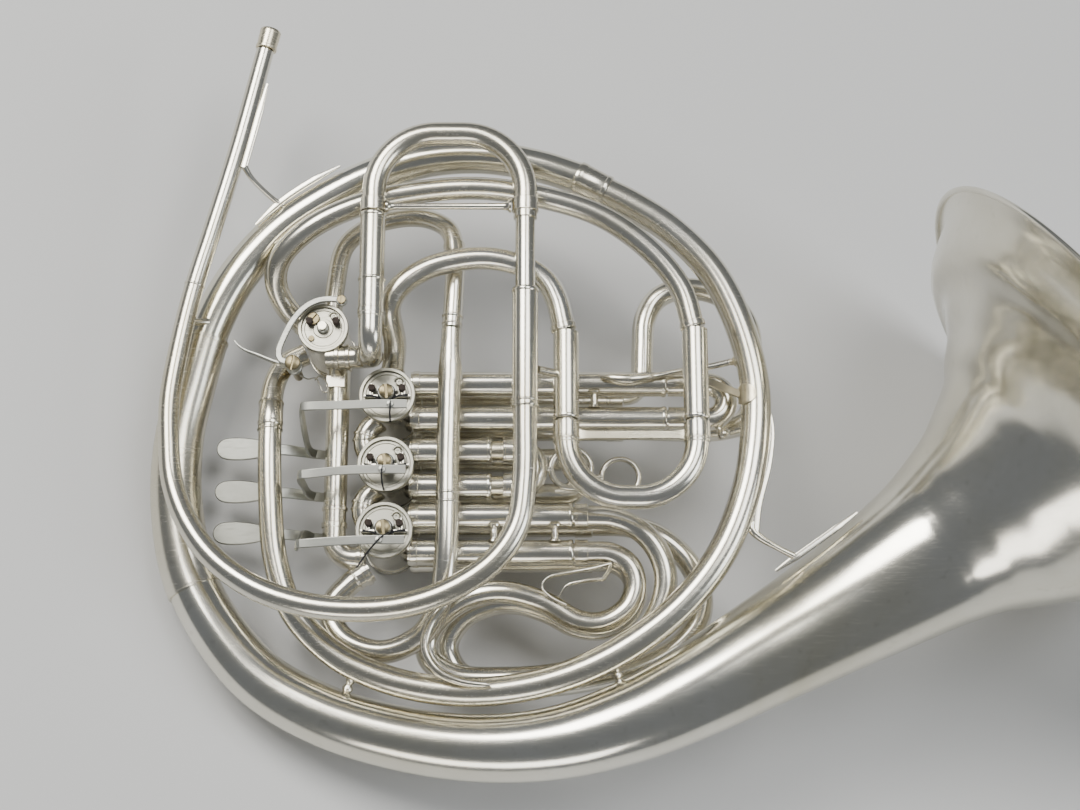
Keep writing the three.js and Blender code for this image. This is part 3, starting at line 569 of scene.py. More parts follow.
receiver_axis = Vector((2.5, 11.9, 0)).normalized()
receiver = Shape().turned(
    (-154.2, 198.6, 30), receiver_axis,
    [(0, 4.2), (0, 5.3), (0.4, 5.9), (1.6, 6.0), (2.0, 5.6), (10.4, 5.9), (11.4, 5.9), (12.0, 5.5),
     (12.1, 4.9), (11.6, 4.3), (3.0, 3.9)], FINE, closed=True,
)
receiver.object("receiver", WORN, replaces=["mouthpiece_receiver"])

sleeve = Shape().lip((-8, -12.4, MAIN_Z), (0, 1, 0), length=66.4)
for y in (-11.5, -8.5):
    sleeve.band([(-8, y - 2, MAIN_Z, SLEEVE_R), (-8, y + 2, MAIN_Z, SLEEVE_R)], 2, 1.2, 0.65)
sleeve.rod((-1.3, 10, 36), (7.6, 10, 29), 2.2)
sleeve.object("main_sleeve_r", SILVER, replaces=["main_sleeve_right"])
left = Shape().lip((-90.5, 38, MAIN_Z), (0, 1, 0), length=59)
elbow = bent_path([(-90.5, 44, MAIN_Z), (-90.5, 17, MAIN_Z), (-92, 25, 9), (-117, 25, 7)], 11, TUBE_R)
left.tube(elbow)
left.band([(-90.5, 60, MAIN_Z, SLEEVE_R), (-90.5, 50, MAIN_Z, SLEEVE_R)], 1, 1.6, 0.5)
left.band(elbow, 3, 3.0, 0.8)
left.band(elbow, lengths(elbow)[-1] - 6, 2.4, 0.8)
left.band(elbow, lengths(elbow)[-1] - 12, 2.4, 0.8)
left.object("main_sleeve_l", SILVER, replaces=["main_sleeve_left"])

MAIN_LEG_X = (-8, -90.5)
ARCH = bent_path([(-8, 94, MAIN_Z), (-8, 143.5, MAIN_Z), (-90.5, 143.5, MAIN_Z), (-90.5, 98, MAIN_Z)], 34,
                 TUBE_R)
slide = Shape().tube(ARCH, 32)
slide.rod((-8, 0, MAIN_Z), (-8, 97, MAIN_Z), LEG_R)
slide.rod((-90.5, 48, MAIN_Z), (-90.5, 101, MAIN_Z), LEG_R)
for x in MAIN_LEG_X:
    leg = [(x, 97.6, MAIN_Z, TUBE_R), (x, 110, MAIN_Z, TUBE_R)]
    slide.band(leg, 4, 7.0, 0.75)
    slide.band(leg, 0.8, 1.4, 0.9)
slide.object("main_slide_bow", SILVER, "main_slide", ["main_tuning_slide"])
brace = Shape()
brace.turned((-83.6, 101, MAIN_Z), (1, 0, 0),
             [(0, 0), (0, 3.6), (1.0, 3.6), (2.2, 2.4), (5, 1.9), (33, 1.7), (63, 1.9), (65.8, 2.4),
              (67, 3.6), (68, 3.6), (68, 0)])
brace.object("main_slide_bar", SILVER, "main_slide", ["main_slide_brace"])

# ---- F branch and its slide ----
F_UPPER = smooth_path([
    (-129, 46, -6, 6.3), (-140, 54, 1, 6.3), (-146, 66, 11, 6.3), (-143, 78, 20, 6.3),
    (-127, 93, 26, 6.3), (-99, 107, 27, 6.3), (-66, 115, 26, 6.3), (-33, 117, 26, 6.3), (0, 112, 26, 6.3),
    (33, 101, 26, 6.3), (60, 81, 26, 6.3), (77, 58, 26, 6.3), (83, 36, 26, 6.3),
])
f_upper = Shape().tube(F_UPPER, 32)
f_upper.band(F_UPPER, lengths(F_UPPER)[-1] - 2, 3.2, 0.7)
f_upper.band(F_UPPER, 4, 3.2, 0.7)
f_upper.object("f_branch_bow", SILVER, replaces=["f_branch_upper"])
F_LOWER = smooth_path([
    (13, 34.5, 26, 6.3), (9, 52, 26, 6.3), (3, 63, 26, 6.3), (-8, 71, 26, 6.3), (-27, 76, 26, 6.3),
    (-45, 75, 26, 6.3), (-62, 70, 26, 6.3), (-76, 60, 26, 6.3), (-82, 50, 23, 6.3), (-80, 33, 5, 6.3),
    (-83, 15, -8, 6.3),
])
f_lower = Shape().tube(F_LOWER, 32)
f_lower.band(F_LOWER, 2, 3.2, 0.7)
f_lower.band(F_LOWER, lengths(F_LOWER)[-1] - 6, 3.0, 0.8)
f_lower.object("f_branch_down", SILVER, replaces=["f_branch_lower"])
for name, x, top in (("f_sleeve_right", 83.7, 35.2), ("f_sleeve_left", 14, 33.6)):
    sleeve = Shape().lip((x, top, F_Z), (0, -1, 0), length=top + 15)
    sleeve.object(name + "_tube", SILVER, replaces=[name])
F_LEG_X = (83.7, 14)
F_BOW = bent_path([(83.7, -20, F_Z), (83.7, -57.4, F_Z), (14, -57.4, F_Z), (14, -20, F_Z)], 31, TUBE_R)
f_slide = Shape().tube(F_BOW, 32)
for x in F_LEG_X:
    f_slide.rod((x, 24, F_Z), (x, -22, F_Z), LEG_R)
    leg = [(x, -15.6, F_Z, TUBE_R), (x, -30, F_Z, TUBE_R)]
    f_slide.band(leg, 5.5, 9.6, 0.75)
    f_slide.band(leg, 9.3, 1.1, 1.15)
    f_slide.band(leg, 11.6, 1.1, 0.8)
f_slide.object("f_slide_bow", SILVER, "f_slide", ["f_tuning_slide"])
run = [(20.2, -23.2, F_Z), (24, -23.4, F_Z), (49, -23.4, F_Z), (73.6, -23.4, F_Z), (77.6, -23.2, F_Z)]
bar = Shape().ribbon(run, 4.8, 2.0, (0, 1, 0), taper=lambda w: 1.0 + 0.5 * abs(2 * w - 1) ** 12)
bar.object("f_slide_bar", WORN, "f_slide", angle=FLAT)

# ---- tubes that link the valves ----
CROSS = smooth_path([
    (-48.6, 39, C_Z, 5.5), (-48.8, 30, C_Z, 5.6), (-49, 20, C_Z, 6.2), (-49, 12, C_Z, 6.4),
    (-49.5, -30, C_Z, 6.4), (-50, -88, C_Z, 6.4), (-53, -110, 9, 6.4), (-63, -127, 2, 6.4),
    (-84, -135.5, -2, 6.4), (-105, -128, -5, 6.4), (-113, -112, -8, 6.4), (-104, -99, -8, 6.4),
    (-92, -90.5, -8, 6.4),
])
cross = Shape().tube(CROSS, 32)
cross.band(CROSS, nearest(CROSS, (-50, -54, 14)), 1.3, 0.5)
cross.band(CROSS, nearest(CROSS, (-50, -57, 14)), 1.3, 0.5)
spear = []
for k in range(19):
    w = k / 18
    r = 5.9 + 0.95 * min(1, w * 1.6)
    spread = 0.06 + 1.25 * math.sin(w * math.pi / 2) ** 1.4
    outer, inner = leaf_arcs(-48.8, 36.5 - 27.5 * w, C_Z, r - 1.2, r, math.pi / 2, spread)
    spear.append(outer + inner)
cross.rings(spear)
end = lengths(CROSS)[-1]
cross.band(CROSS, end - 3, 3.0, 0.8)
cross.band(CROSS, end - 9, 1.6, 0.6)
cross.object("cross_pipe", SILVER, replaces=["cross_tube"])
CROSS_TOP = smooth_path([
    (-119, 51, -24, 5.4), (-117, 76, -22, 5.4), (-112, 98, -18, 5.4), (-100, 108, -14, 5.4),
    (-82, 112, -8, 5.4), (-64, 109, 0, 5.4), (-51, 99, 8, 5.4), (-47.3, 84, 12, 5.4),
    (-47.5, 60, 13, 5.4), (-48.4, 40, 13.8, 5.4),
])
cross_top = Shape().tube(CROSS_TOP, 30)
cross_top.band(CROSS_TOP, nearest(CROSS_TOP, (-47.4, 87, 12)), 6.5, 0.7)
cross_top.band(CROSS_TOP, nearest(CROSS_TOP, (-47.8, 46, 13)), 1.6, 0.6)
cross_top.band(CROSS_TOP, nearest(CROSS_TOP, (-48.1, 42, 13.5)), 1.2, 0.4)
cross_top.object("cross_pipe_top", SILVER, replaces=["cross_tube_top"])
LINK = bent_path([(-112, 29, FRONT_Z), (-112, -84, FRONT_Z), (-95, -84, FRONT_Z)], 11, TUBE_R)
link_tube = Shape().tube(LINK, 32)
for y, width in ((24, 5.0), (-57, 2.0), (-66, 3.0)):
    link_tube.band(LINK, 29 - y, width, 0.7)
link_tube.band(LINK, lengths(LINK)[-1] - 3, 2.6, 0.8)
link_tube.plate([(-118.2, 10.6), (-107.8, 10.6), (-107.8, 17.2), (-118.2, 17.2)], -6, -0.9, 0.4)
link_tube.object("link_pipe", SILVER, replaces=["valve_link_tube"])

# ---- valves ----
ROW_END = [70, -26.5, 18]
ROW_END_BACK = [40, -10, 22]
POST_X = [[30], [], [-25, 8]]
VALVES = [(str(i + 1), VALVE_X, y, VALVE_R, ROTOR_R) for i, y in enumerate(VALVE_Y)]
VALVES.append(("thumb", THUMB[0], THUMB[1], THUMB_VALVE_R, THUMB_ROTOR_R))
for n, x, y, r, rotor_r in VALVES:
    i = int(n) - 1 if n != "thumb" else None
    body_name = "valve_rotor_" + n
    casing = Shape()
    casing.turned(
        (x, y, 0), (0, 0, 1),
        [(BODY_BACK, rotor_r + 0.4), (BODY_BACK, r + 0.5), (BODY_BACK + 3, r + 0.5), (BODY_BACK + 3.4, r),
         (PLATE_Z - 4.4, r), (PLATE_Z - 4, r + 0.5), (PLATE_Z - 0.2, r + 0.5),
         (PLATE_Z - 0.2, rotor_r + 0.4)],
        FINE, closed=True,
    )
    if i is not None:
        for row in ROW_Y[i]:
            for z, far in ((FRONT_Z, ROW_END[i]), (BACK_Z, ROW_END_BACK[i])):
                casing.lip((VALVE_X + 11.5, row, z), (1, 0, 0), length=far - VALVE_X - 11.5)
                stub = [(VALVE_X + 11, row, z, TUBE_R), (VALVE_X + 40, row, z, SLEEVE_R)]
                casing.band(stub, 3.5, 4.0, 0.9)
        if i == 1:
            for top in (VALVE_Y[0], VALVE_Y[1]):
                knuckle = smooth_path([
                    (kx, top - down, FRONT_Z, 6.3)
                    for kx, down in ((-88, 9), (-94, 13), (-96.6, 19), (-95.6, 26), (-90, 31))
                ])
                casing.tube(knuckle)
                casing.band(knuckle, 12.5, 1.6, 0.7)
                casing.band(knuckle, 15.5, 1.2, 0.6)
        for px in POST_X[i]:
            top, low = ROW_Y[i]
            span = top - low - 10.8
            casing.turned((px, top - 5.4, FRONT_Z + 3.8), (0, -1, 0),
                          [(0, 0), (0, 3.6), (0.9, 3.4), (1.7, 2.0), (3.0, 1.9), (span / 2, 2.2),
                           (span - 3.0, 1.9), (span - 1.7, 2.0), (span - 0.9, 3.4), (span, 3.6),
                           (span, 0)], 24)
    casing.object("casing_" + n, SILVER, replaces=["valve_casing_" + n])

    z = PLATE_Z
    plate = Shape().turned(
        (x, y, 0), (0, 0, 1),
        [(z + 0.1, 3.0), (z + 0.1, r + 1.0), (z + 0.6, r + 1.3), (z + 4.0, r + 1.3), (z + 4.6, r + 0.9),
         (z + 4.6, r - 0.5), (z + 4.2, r - 0.8), (z + 3.0, r - 0.9), (z + 3.0, r - 2.2),
         (z + 2.6, r - 2.6), (z + 2.6, 5.6), (z + 3.4, 5.2), (z + 3.4, 3.0)],
        FINE, closed=True,
    )
    plate.turned((x + 0.46 * r, y + 0.50 * r, z + 2.4), (0, 0, 1),
                 [(0, 0), (0, 1.9), (1.6, 1.9), (2.2, 1.5), (2.2, 0.8), (1.6, 0.6), (1.6, 0)], 24)
    ring_wire = [(x + 0.46 * r + 2.9 * math.cos(t), y + 0.50 * r + 2.9 * math.sin(t), z + 3.4, 0.55)
                 for t in (math.radians(-60 + 20 * k) for k in range(12))]
    plate.tube(ring_wire, 10)
    plate.object("valve_front_" + n, FACE, replaces=["valve_plate_" + n])
    if n == "thumb":
        screws = Shape().screw((x - 0.42 * r, y + 0.42 * r, z + 2.6), 3.4, 2.6, 0.1)
        screws.screw((x - 0.50 * r, y - 0.45 * r, z + 2.6), 1.6, 1.2, 1.0)
        screws.object("valve_screws_" + n, BRASS)
    else:
        run = [(x + along, y - 0.9, z + 4.6) for along in (1.6 - r, 0, r - 1.6)]
        bar = Shape().ribbon(run, 2.0, 1.6, (0, 1, 0))
        for sx in (-1, 1):
            bar.ribbon([(x + sx * 8.6, y - 0.9, z + 4.4), (x + sx * 8.8, y + 3.0, z + 4.4),
                        (x + sx * 8.2, y + 6.0, z + 4.4)], 1.6, 2.2)
        bar.object("cork_plate_" + n, SILVER)
    corks = Shape()
    for sx in (-1, 1):
        reach = 8.2 if n != "thumb" else 7.2
        cx = x + sx * reach
        block = [(cx - 1.9, y + 1.4), (cx + 1.9, y + 1.4), (cx + 1.9, y + 5.0), (cx - 1.9, y + 5.0)]
        corks.plate(rounded(block, 2), z + 4.0, z + 8.6, 0.35)
    corks.object("corks_" + n, CORK)

    rotor = Shape()
    rotor.turned((x, y, 0), (0, 0, 1),
                 [(BODY_BACK + 3, 0), (BODY_BACK + 3, rotor_r), (PLATE_Z - 0.3, rotor_r),
                  (PLATE_Z - 0.3, 2.3), (z + 9.0, 2.3), (z + 9.0, 0)], FINE)
    rotor.object("rotor_body_" + n, SILVER, body_name, ["rotor_" + n])
    hub = Shape()
    top = z + (11.0 if n != "thumb" else 6.4)
    if n == "thumb":
        profile = [(z + 3.0, 0), (z + 3.0, 3.0), (z + 3.4, 3.4), (top - 0.6, 3.2), (top, 2.6), (top, 1.4),
                   (top - 1.4, 1.2), (top - 1.4, 0)]
    else:
        profile = [(z + 5.6, 0), (z + 5.6, 3.4), (z + 5.9, 4.2), (top - 2.4, 3.9), (top - 1.4, 4.4),
                   (top, 4.2), (top, 0)]
    hub.turned((x, y, 0), (0, 0, 1), profile, 36)
    if n != "thumb":
        arm = [(x - 2.6, y - 1), (x - 2.2, y - 3), (x + 2.2, y - 3), (x + 2.6, y - 1), (x + 5.6, y + 1.6),
               (x + 5.2, y + 4.4), (x + 1, y + 3.6), (x - 1, y + 3.6), (x - 5.2, y + 4.4),
               (x - 5.6, y + 1.6)]
        hub.plate(arm, z + 5.7, z + 7.4)
    hub.object("stop_hub_" + n, SATIN, body_name, ["stop_arm_" + n])
    if n != "thumb":
        screw = Shape().screw((x, y, top - 0.1), 3.9, 2.4, 0.9, slot=0.42)
        screw.object("hub_screw_" + n, BRASS, body_name)
    back = Shape().turned(
        (x, y, 0), (0, 0, 1),
        [(BODY_BACK - 6, 0), (BODY_BACK - 6, r - 5), (BODY_BACK - 5.6, r - 3.4),
         (BODY_BACK - 4.6, r - 0.5), (BODY_BACK - 3.6, r + 0.9), (BODY_BACK - 0.4, r + 0.9),
         (BODY_BACK - 0.4, 0)], FINE,
    )
    back.object("cap_back_" + n, SILVER, replaces=["back_cap_" + n])


# ---- valve slides ----
def crook(name, body, legs, path, extra=None):
    """A valve slide: its bent tube, two inner legs (x0, x1, y, z) with ferrules, and its pull."""
    shape = Shape().tube(path, 32)
    for x0, x1, y, z in legs:
        shape.rod((x0, y, z), (x1, y, z), LEG_R)
        leg = [(x1 - 7.4, y, z, TUBE_R), (x1 + 8, y, z, TUBE_R)]
        shape.band(leg, 4.4, 6.0, 0.75)
        shape.band(leg, 0.9, 1.4, 0.95)
    if extra:
        extra(shape)
    shape.object(name + "_tube", SILVER, body, [name])


def ring(shape, x, y, z, r, wire_r):
    """A wire ring lying in the horn's plane."""
    steps = 56
    rings = []
    for k in range(steps):
        t = 2 * math.pi * k / steps
        out = Vector((math.cos(t), math.sin(t), 0))
        centre = Vector((x, y, z))
        rings.append([
            tuple(centre + out * (r + wire_r * a) + Vector((0, 0, wire_r * b))) for a, b in circle(12)
        ])
    shape.rings(rings, closed=True)


def bow(x, y0, y1, z, reach):
    """A U bend between two slide legs."""
    return bent_path([(x, y0, z), (x + reach, y0, z), (x + reach, y1, z), (x, y1, z)],
                     abs(y0 - y1) / 2 - 0.01, TUBE_R)


def knob(shape):
    """The ferrules beyond the sleeves of the first slide and the small knob that pulls it."""
    for y in (14, -6):
        shape.tube([(70.9, y, FRONT_Z, SLEEVE_R), (90.5, y, FRONT_Z, SLEEVE_R)])
    shape.turned((96.4, -8.8, FRONT_Z), (0.65, -0.76, 0),
                 [(0, 0), (0, 3.3), (1.4, 3.1), (2.3, 2.0), (4.6, 1.8), (5.4, 2.7), (6.4, 3.5),
                  (7.8, 3.9), (9.2, 3.5), (10.1, 2.4), (10.5, 0)], 28)


def hook_strip(shape):
    """Two thin curled strips that pull the third slide."""
    shape.ribbon([(38, -87.6, -5), (28, -90.5, -3), (16, -93, -1), (4, -96.2, 0), (1, -101, 0),
                  (5, -106, 0), (14, -110.5, -1)], 3.4, 1.2, (0, 0.3, 1),
                  taper=lambda w: 1.0 - 0.5 * w * w)
    shape.ribbon([(34, -96.8, 1), (24, -98, 1.5), (14, -100.6, 1.5), (10, -106.5, 1)], 3.0, 1.1,
                 (0, 0.3, 1), taper=lambda w: 1.0 - 0.6 * w * w)
    shape.tube(smooth_path([(38, -88.2, -5, 1.6), (37, -92, -2, 1.2), (34, -96.8, 1, 1.1)], 1.0), 14)


def ring_front(shape):
    """The second front slide's pull ring."""
    ring(shape, 17, -34, FRONT_Z, 11, 1.7)
    shape.rod((2, -34, FRONT_Z), (6.5, -34, FRONT_Z), 1.8)


def ring_back(shape):
    """The second back slide's pull ring."""
    ring(shape, 45, -34, BACK_Z, 10.5, 1.6)
    shape.rod((27, -34, BACK_Z), (35, -34, BACK_Z), 1.8)


crook("slide_1_front", "slide_1_bb", [(40, 90.5, 14, FRONT_Z), (40, 90.5, -6, FRONT_Z)],
      bow(90, 14, -6, FRONT_Z, 13), knob)
crook("slide_2_front", "slide_2_bb", [(-18, -13, -24, FRONT_Z), (-18, -13, -44, FRONT_Z)],
      bow(-14, -24, -44, FRONT_Z, 12), ring_front)
legs = Shape()
for y in (-24, -44):
    legs.turned((-52, y, FRONT_Z), (1, 0, 0), [(0, 0), (0, 5.5), (37.4, 5.5), (37.4, 0)], 30)
legs.object("slide_2_legs", WORN, "slide_2_bb")
THIRD_FRONT = smooth_path([
    (26, -61, -8, 6.3), (40, -62, -8, 6.3), (55, -69, -8, 6.3), (65, -82, -8, 6.3), (68, -98, -8, 6.3),
    (61, -118, -10, 6.3), (46, -132, -14, 6.3), (28, -141, -15, 6.3), (8, -146, -15, 6.3),
    (-20, -148, -16, 6.3), (-46, -146, -17, 6.3), (-60, -137, -17, 6.3), (-60, -124, -16, 6.3),
    (-50, -112, -12, 6.3), (-36, -104.5, -9, 6.3), (-20, -102.5, -8, 6.3), (2, -108, -8, 6.3),
    (20, -118, -8, 6.3), (34, -119, -8, 6.3), (47, -111, -8, 6.3), (51.5, -99, -8, 6.3),
    (48, -87.5, -8, 6.3), (38, -81.5, -8, 6.3), (26, -81, -8, 6.3),
])
crook("slide_3_front", "slide_3_bb", [(-22, 26, -61, FRONT_Z), (-22, 26, -81, FRONT_Z)], THIRD_FRONT,
      hook_strip)
FIRST_BACK = smooth_path([
    (47, 14, -30, 6.3), (52, 15, -30, 6.3), (57, 22, -30, 6.3), (58.5, 40, -30, 6.3), (60, 58, -30, 6.3),
    (67, 71, -30, 6.3), (80, 77, -30, 6.3), (96, 76, -30, 6.3), (110, 69, -30, 6.3), (119, 55, -30, 6.3),
    (121, 36, -30, 6.3), (121, 12, -30, 6.3), (116, -1, -30, 6.3), (104, -6, -30, 6.3),
    (47, -6, -30, 6.3),
])
crook("slide_1_back", "slide_1_f", [(0, 47, 14, BACK_Z), (0, 47, -6, BACK_Z)], FIRST_BACK)
crook("slide_2_back", "slide_2_f", [(-42, -3, -24, BACK_Z), (-42, -3, -44, BACK_Z)],
      bow(-3, -24, -44, BACK_Z, 26), ring_back)
THIRD_BACK = smooth_path([
    (29, -61, -30, 6.3), (50, -62, -30, 6.3), (68, -69, -30, 6.3), (82, -82, -31, 6.3),
    (89, -98, -33, 6.3), (88, -113, -35, 6.3), (77, -127, -36, 6.3), (58, -138, -35, 6.3),
    (30, -146, -34, 6.3), (0, -150, -34, 6.3), (-28, -149, -34, 6.3), (-45, -142, -34, 6.3),
    (-51, -129, -33, 6.3), (-44, -115, -31, 6.3), (-30, -107, -30, 6.3), (-14, -105, -30, 6.3),
    (4, -110, -30, 6.3), (20, -118, -30, 6.3), (35, -119, -30, 6.3), (48, -112, -30, 6.3),
    (53, -100, -30, 6.3), (50, -88.5, -30, 6.3), (41, -82, -30, 6.3), (29, -81, -30, 6.3),
])
crook("slide_3_back", "slide_3_f", [(-12, 29, -61, BACK_Z), (-12, 29, -81, BACK_Z)], THIRD_BACK)

# ---- levers ----
HINGE = (-112, -21)
PAD_Y = [-24, -48, -71]
BAR_Y = [-6, -42, -80]
BAR_Z = 23.7
BAR_DROP = [1.0, 2.4, 1.8]
BARREL_Y = [(-20, -32), (-38, -51), (-63, -76)]
STRING_R = 0.5
STRING_X = [-80.5, -84, -85]
# Where each string crosses its lever bar: x, y past the bar, z.
STRING_ENDS = [
    [(-81, 4.0, 17.4), (-80.4, 1.6, 24.9), (-80.2, -1.6, 25.6), (-80.5, -4.2, 24), (-80.8, -8, 16.6)],
    [(-84, 3.6, 17.4), (-83.8, 1.5, 25), (-84, -1.5, 25.6), (-84.2, -5, 22), (-83.6, -9.5, 15.8)],
    [(-78.5, 6, 17.4), (-83, 1.6, 25), (-86, -1.6, 25.5), (-91, -6, 20), (-97, -13, 14)],
]
hinge_rod = Shape().rod((HINGE[0], 6, HINGE[1]), (HINGE[0], -82, HINGE[1]), 1.6, 20)
for y in (3, -79):
    hinge_rod.turned((HINGE[0], y + 2.4, HINGE[1]), (0, -1, 0),
                     [(0, 0), (0, 2.8), (0.5, 3.1), (4.3, 3.1), (4.8, 2.8), (4.8, 0)], 28)
    hinge_rod.ribbon([(HINGE[0], y, HINGE[1] + 1), (HINGE[0], y, HINGE[1] + 4), (HINGE[0], y, -14)],
                     4.6, 2.6, (0, 1, 0))
hinge_rod.object("hinge_rod", SILVER, replaces=["lever_hinge_rod"])
for i, y in enumerate(PAD_Y):
    n = str(i + 1)
    body_name = "lever_" + n
    b0, b1 = BARREL_Y[i]
    bar_y = BAR_Y[i]
    lever = Shape()
    span = b0 - b1
    lever.turned((HINGE[0], b0, HINGE[1]), (0, -1, 0),
                 [(0, 1.8), (0, 2.8), (0.8, 3.0), (1.6, 2.8), (span - 1.6, 2.8), (span - 0.8, 3.0),
                  (span, 2.8), (span, 1.8)], 32, closed=True)
    lever.ribbon([(-152, y, -4), (-146, y, -4.4), (-138, y, -7), (-126, y, -15), (-118, y, -19),
                  (-113.5, y, -21)], 6.4, 2.0, (0, 1, 0), taper=lambda w: 1.0 - 0.25 * w)
    low = bar_y - BAR_DROP[i]
    lever.ribbon([(-124.5, y, -16), (-126.8, y, -8), (-127.9, y * 0.68 + bar_y * 0.32, 5),
                  (-128.6, low - 0.6, 18), (-127.8, low, 22.6), (-124, low + 0.1, BAR_Z),
                  (-106, bar_y - 0.4, BAR_Z), (-88, bar_y + 0.3, BAR_Z), (-71.5, bar_y + 0.3, BAR_Z)],
                 4.8, 1.7, (0.15, 1, 0.1))
    lever.object("lever_%s_arm" % n, SATIN, body_name, ["finger_lever_" + n], FLAT)
    outline = rounded([(-147, y + 3.4), (-155, y + 5.5), (-166, y + 6.6), (-175, y + 5.6), (-178, y),
                       (-175, y - 5.6), (-166, y - 6.6), (-155, y - 5.5), (-147, y - 3.4)], 2)
    Shape().plate(outline, -5, -2.9, 0.5).object("lever_%s_pad" % n, PAD, body_name)
    screw = Shape().screw((STRING_X[i], bar_y + 0.3, 24.5), 1.9, 1.3, 0.3)
    screw.object("lever_%s_screw" % n, SATIN, body_name)
    end = smooth_path([(a, bar_y + 0.3 + b, c, STRING_R) for a, b, c in STRING_ENDS[i]], 0.8)
    Shape().tube(end, 8).object("string_end_" + n, STRING, body_name)

# The part of each string that wraps the hub and runs along the cork plate.
for i, (n, x, y, r, _) in enumerate(VALVES[:3]):
    z = PLATE_Z + 8.3
    angles = [math.radians(-70 + 32 * k) for k in range(11)]
    turn = [(x + 4.5 * math.cos(t), y + 4.5 * math.sin(t), z) for t in reversed(angles)]
    route = [(x - r + 2.6, y - 0.6, z - 2.2), (x - 6, y - 2.0, z - 0.6)] + turn
    route += [(x + 6, y - 1.6, z - 0.6), (x + r - 2.6, y - 0.4, z - 2.2)]
    string = Shape().tube(smooth_path([(*q, STRING_R) for q in route], 0.8), 8)
    string.object("string_" + n, STRING, "valve_rotor_" + n)

PIVOT = (-134, 18)
thumb = Shape()
thumb.ribbon([(-134, 18, 14), (-142, 19.6, 14), (-149, 22.3, 14), (-155.5, 25, 14), (-161, 27.2, 14),
              (-165, 30, 14), (-167, 32.5, 14)], 6.0, 1.5, taper=lambda w: 1.0 - 0.55 * w * w)
thumb.turned((*PIVOT, 0), (0, 0, 1),
             [(11.5, 1.9), (11.5, 4.0), (12.2, 4.4), (14.4, 4.4), (15, 3.8), (17, 3.8), (17.4, 4.4),
              (19.8, 4.4), (20.4, 4.0), (20.4, 1.9)], 36, closed=True)
thumb.ribbon([(-135, 18.6, 18.3), (-141, 20.8, 18.3), (-142.2, 25, 18.3), (-139.6, 33.6, 18.3),
              (-135, 43, 18.3), (-128.8, 50.4, 18.3), (-121.5, 54.4, 18.3), (-114, 55.2, 18.3),
              (-108, 54.4, 18.3)], 1.9, 3.3)
thumb.turned((-108.6, 54.2, 17), (0, 0, 1),
             [(0, 0), (0, 2.6), (0.4, 3.0), (2.6, 3.0), (3.0, 2.6), (3.0, 0)], 28)
thumb.object("thumb_lever_plate", SATIN, "lever_thumb", ["thumb_lever"], FLAT)
Shape().screw((-108.6, 54.2, 19.9), 2.4, 1.7, 0.8).object("thumb_link_screw", BRASS, "lever_thumb")
spring = Shape().tube(smooth_path([
    (-131.5, 14.5, 10, 0.45), (-127, 12, 10, 0.45), (-122.6, 12.4, 10.5, 0.45), (-120.2, 8.2, 11, 0.45),
    (-118.2, 4.4, 11, 0.45), (-116, 4.6, 11, 0.45), (-115.8, 8, 11, 0.45), (-117.6, 11.4, 11, 0.45),
    (-121, 13.2, 11, 0.45), (-123, 11, 10.5, 0.45)], 0.8), 8)
spring.object("thumb_spring", SILVER)
post = Shape().turned((*PIVOT, 0), (0, 0, 1),
                      [(-6, 0), (-6, 2.6), (10.4, 2.6), (10.8, 1.7), (20.6, 1.7), (20.6, 0)], 28)
post.screw((*PIVOT, 20.6), 4.1, 2.2, 0.6)
post.object("thumb_post", BRASS, replaces=["thumb_lever_post"])

# ---- braces, posts and the hook ----
brace = Shape()
brace.ribbon([(-152.4, 178, 30), (-158.5, 150, 29.5), (-163.6, 128, 29)], 2.2, 3.6, taper=leaf_tip)
brace.tube(smooth_path([(-163.2, 128.5, 29, 1.9), (-160, 123.5, 26.6, 1.6), (-154, 118, 22, 1.5),
                        (-147, 113, 17, 1.6), (-143.5, 111.5, 15, 2.0)], 1.0), 16)
brace.ribbon([(-158, 99.5, 16), (-147, 110.5, 16.4), (-139, 117, 16.8), (-125, 126.5, 17),
              (-112, 134, 17)], 2.2, 3.6, taper=leaf_foot)
brace.object("lead_brace", SILVER, replaces=["leadpipe_brace"])
brace = Shape()
brace.ribbon([(124.2, -3, 10), (125.8, -17, 10), (123.2, -36, 9.5), (116.8, -58, 9), (114.4, -72.5, 8.6)],
             3.4, 6.0, taper=lambda w: 0.3 + 0.7 * w)
brace.tube(smooth_path([(115.4, -64, 8.4, 1.5), (113.6, -71, 8.4, 2.4), (117.4, -75.2, 8, 2.2),
                        (126.6, -80.5, 6.5, 1.6), (136, -85, 5, 1.9)], 1.0), 16)
brace.ribbon([(126, -93, 4), (144, -80.6, 4), (159, -70, 4), (171, -61, 4)], 2.2, 3.8, taper=leaf_foot)
brace.object("bell_stay", SILVER, replaces=["bell_brace"], angle=30)


def post_between(name, a, b, node_name):
    """A turned post with a ball in the middle and a flange on each tube."""
    a, b = Vector(a), Vector(b)
    span = (b - a).length
    profile = [(-1.5, 0), (-1.5, 3.0), (0.6, 2.8), (span * 0.28, 1.6), (span * 0.4, 2.6),
               (span * 0.5, 3.0), (span * 0.6, 2.6), (span * 0.72, 1.6), (span - 0.6, 2.8),
               (span + 1.5, 3.0), (span + 1.5, 0)]
    shape = Shape().turned(a, b - a, profile, 28)
    shape.object(name, SILVER, replaces=[node_name])


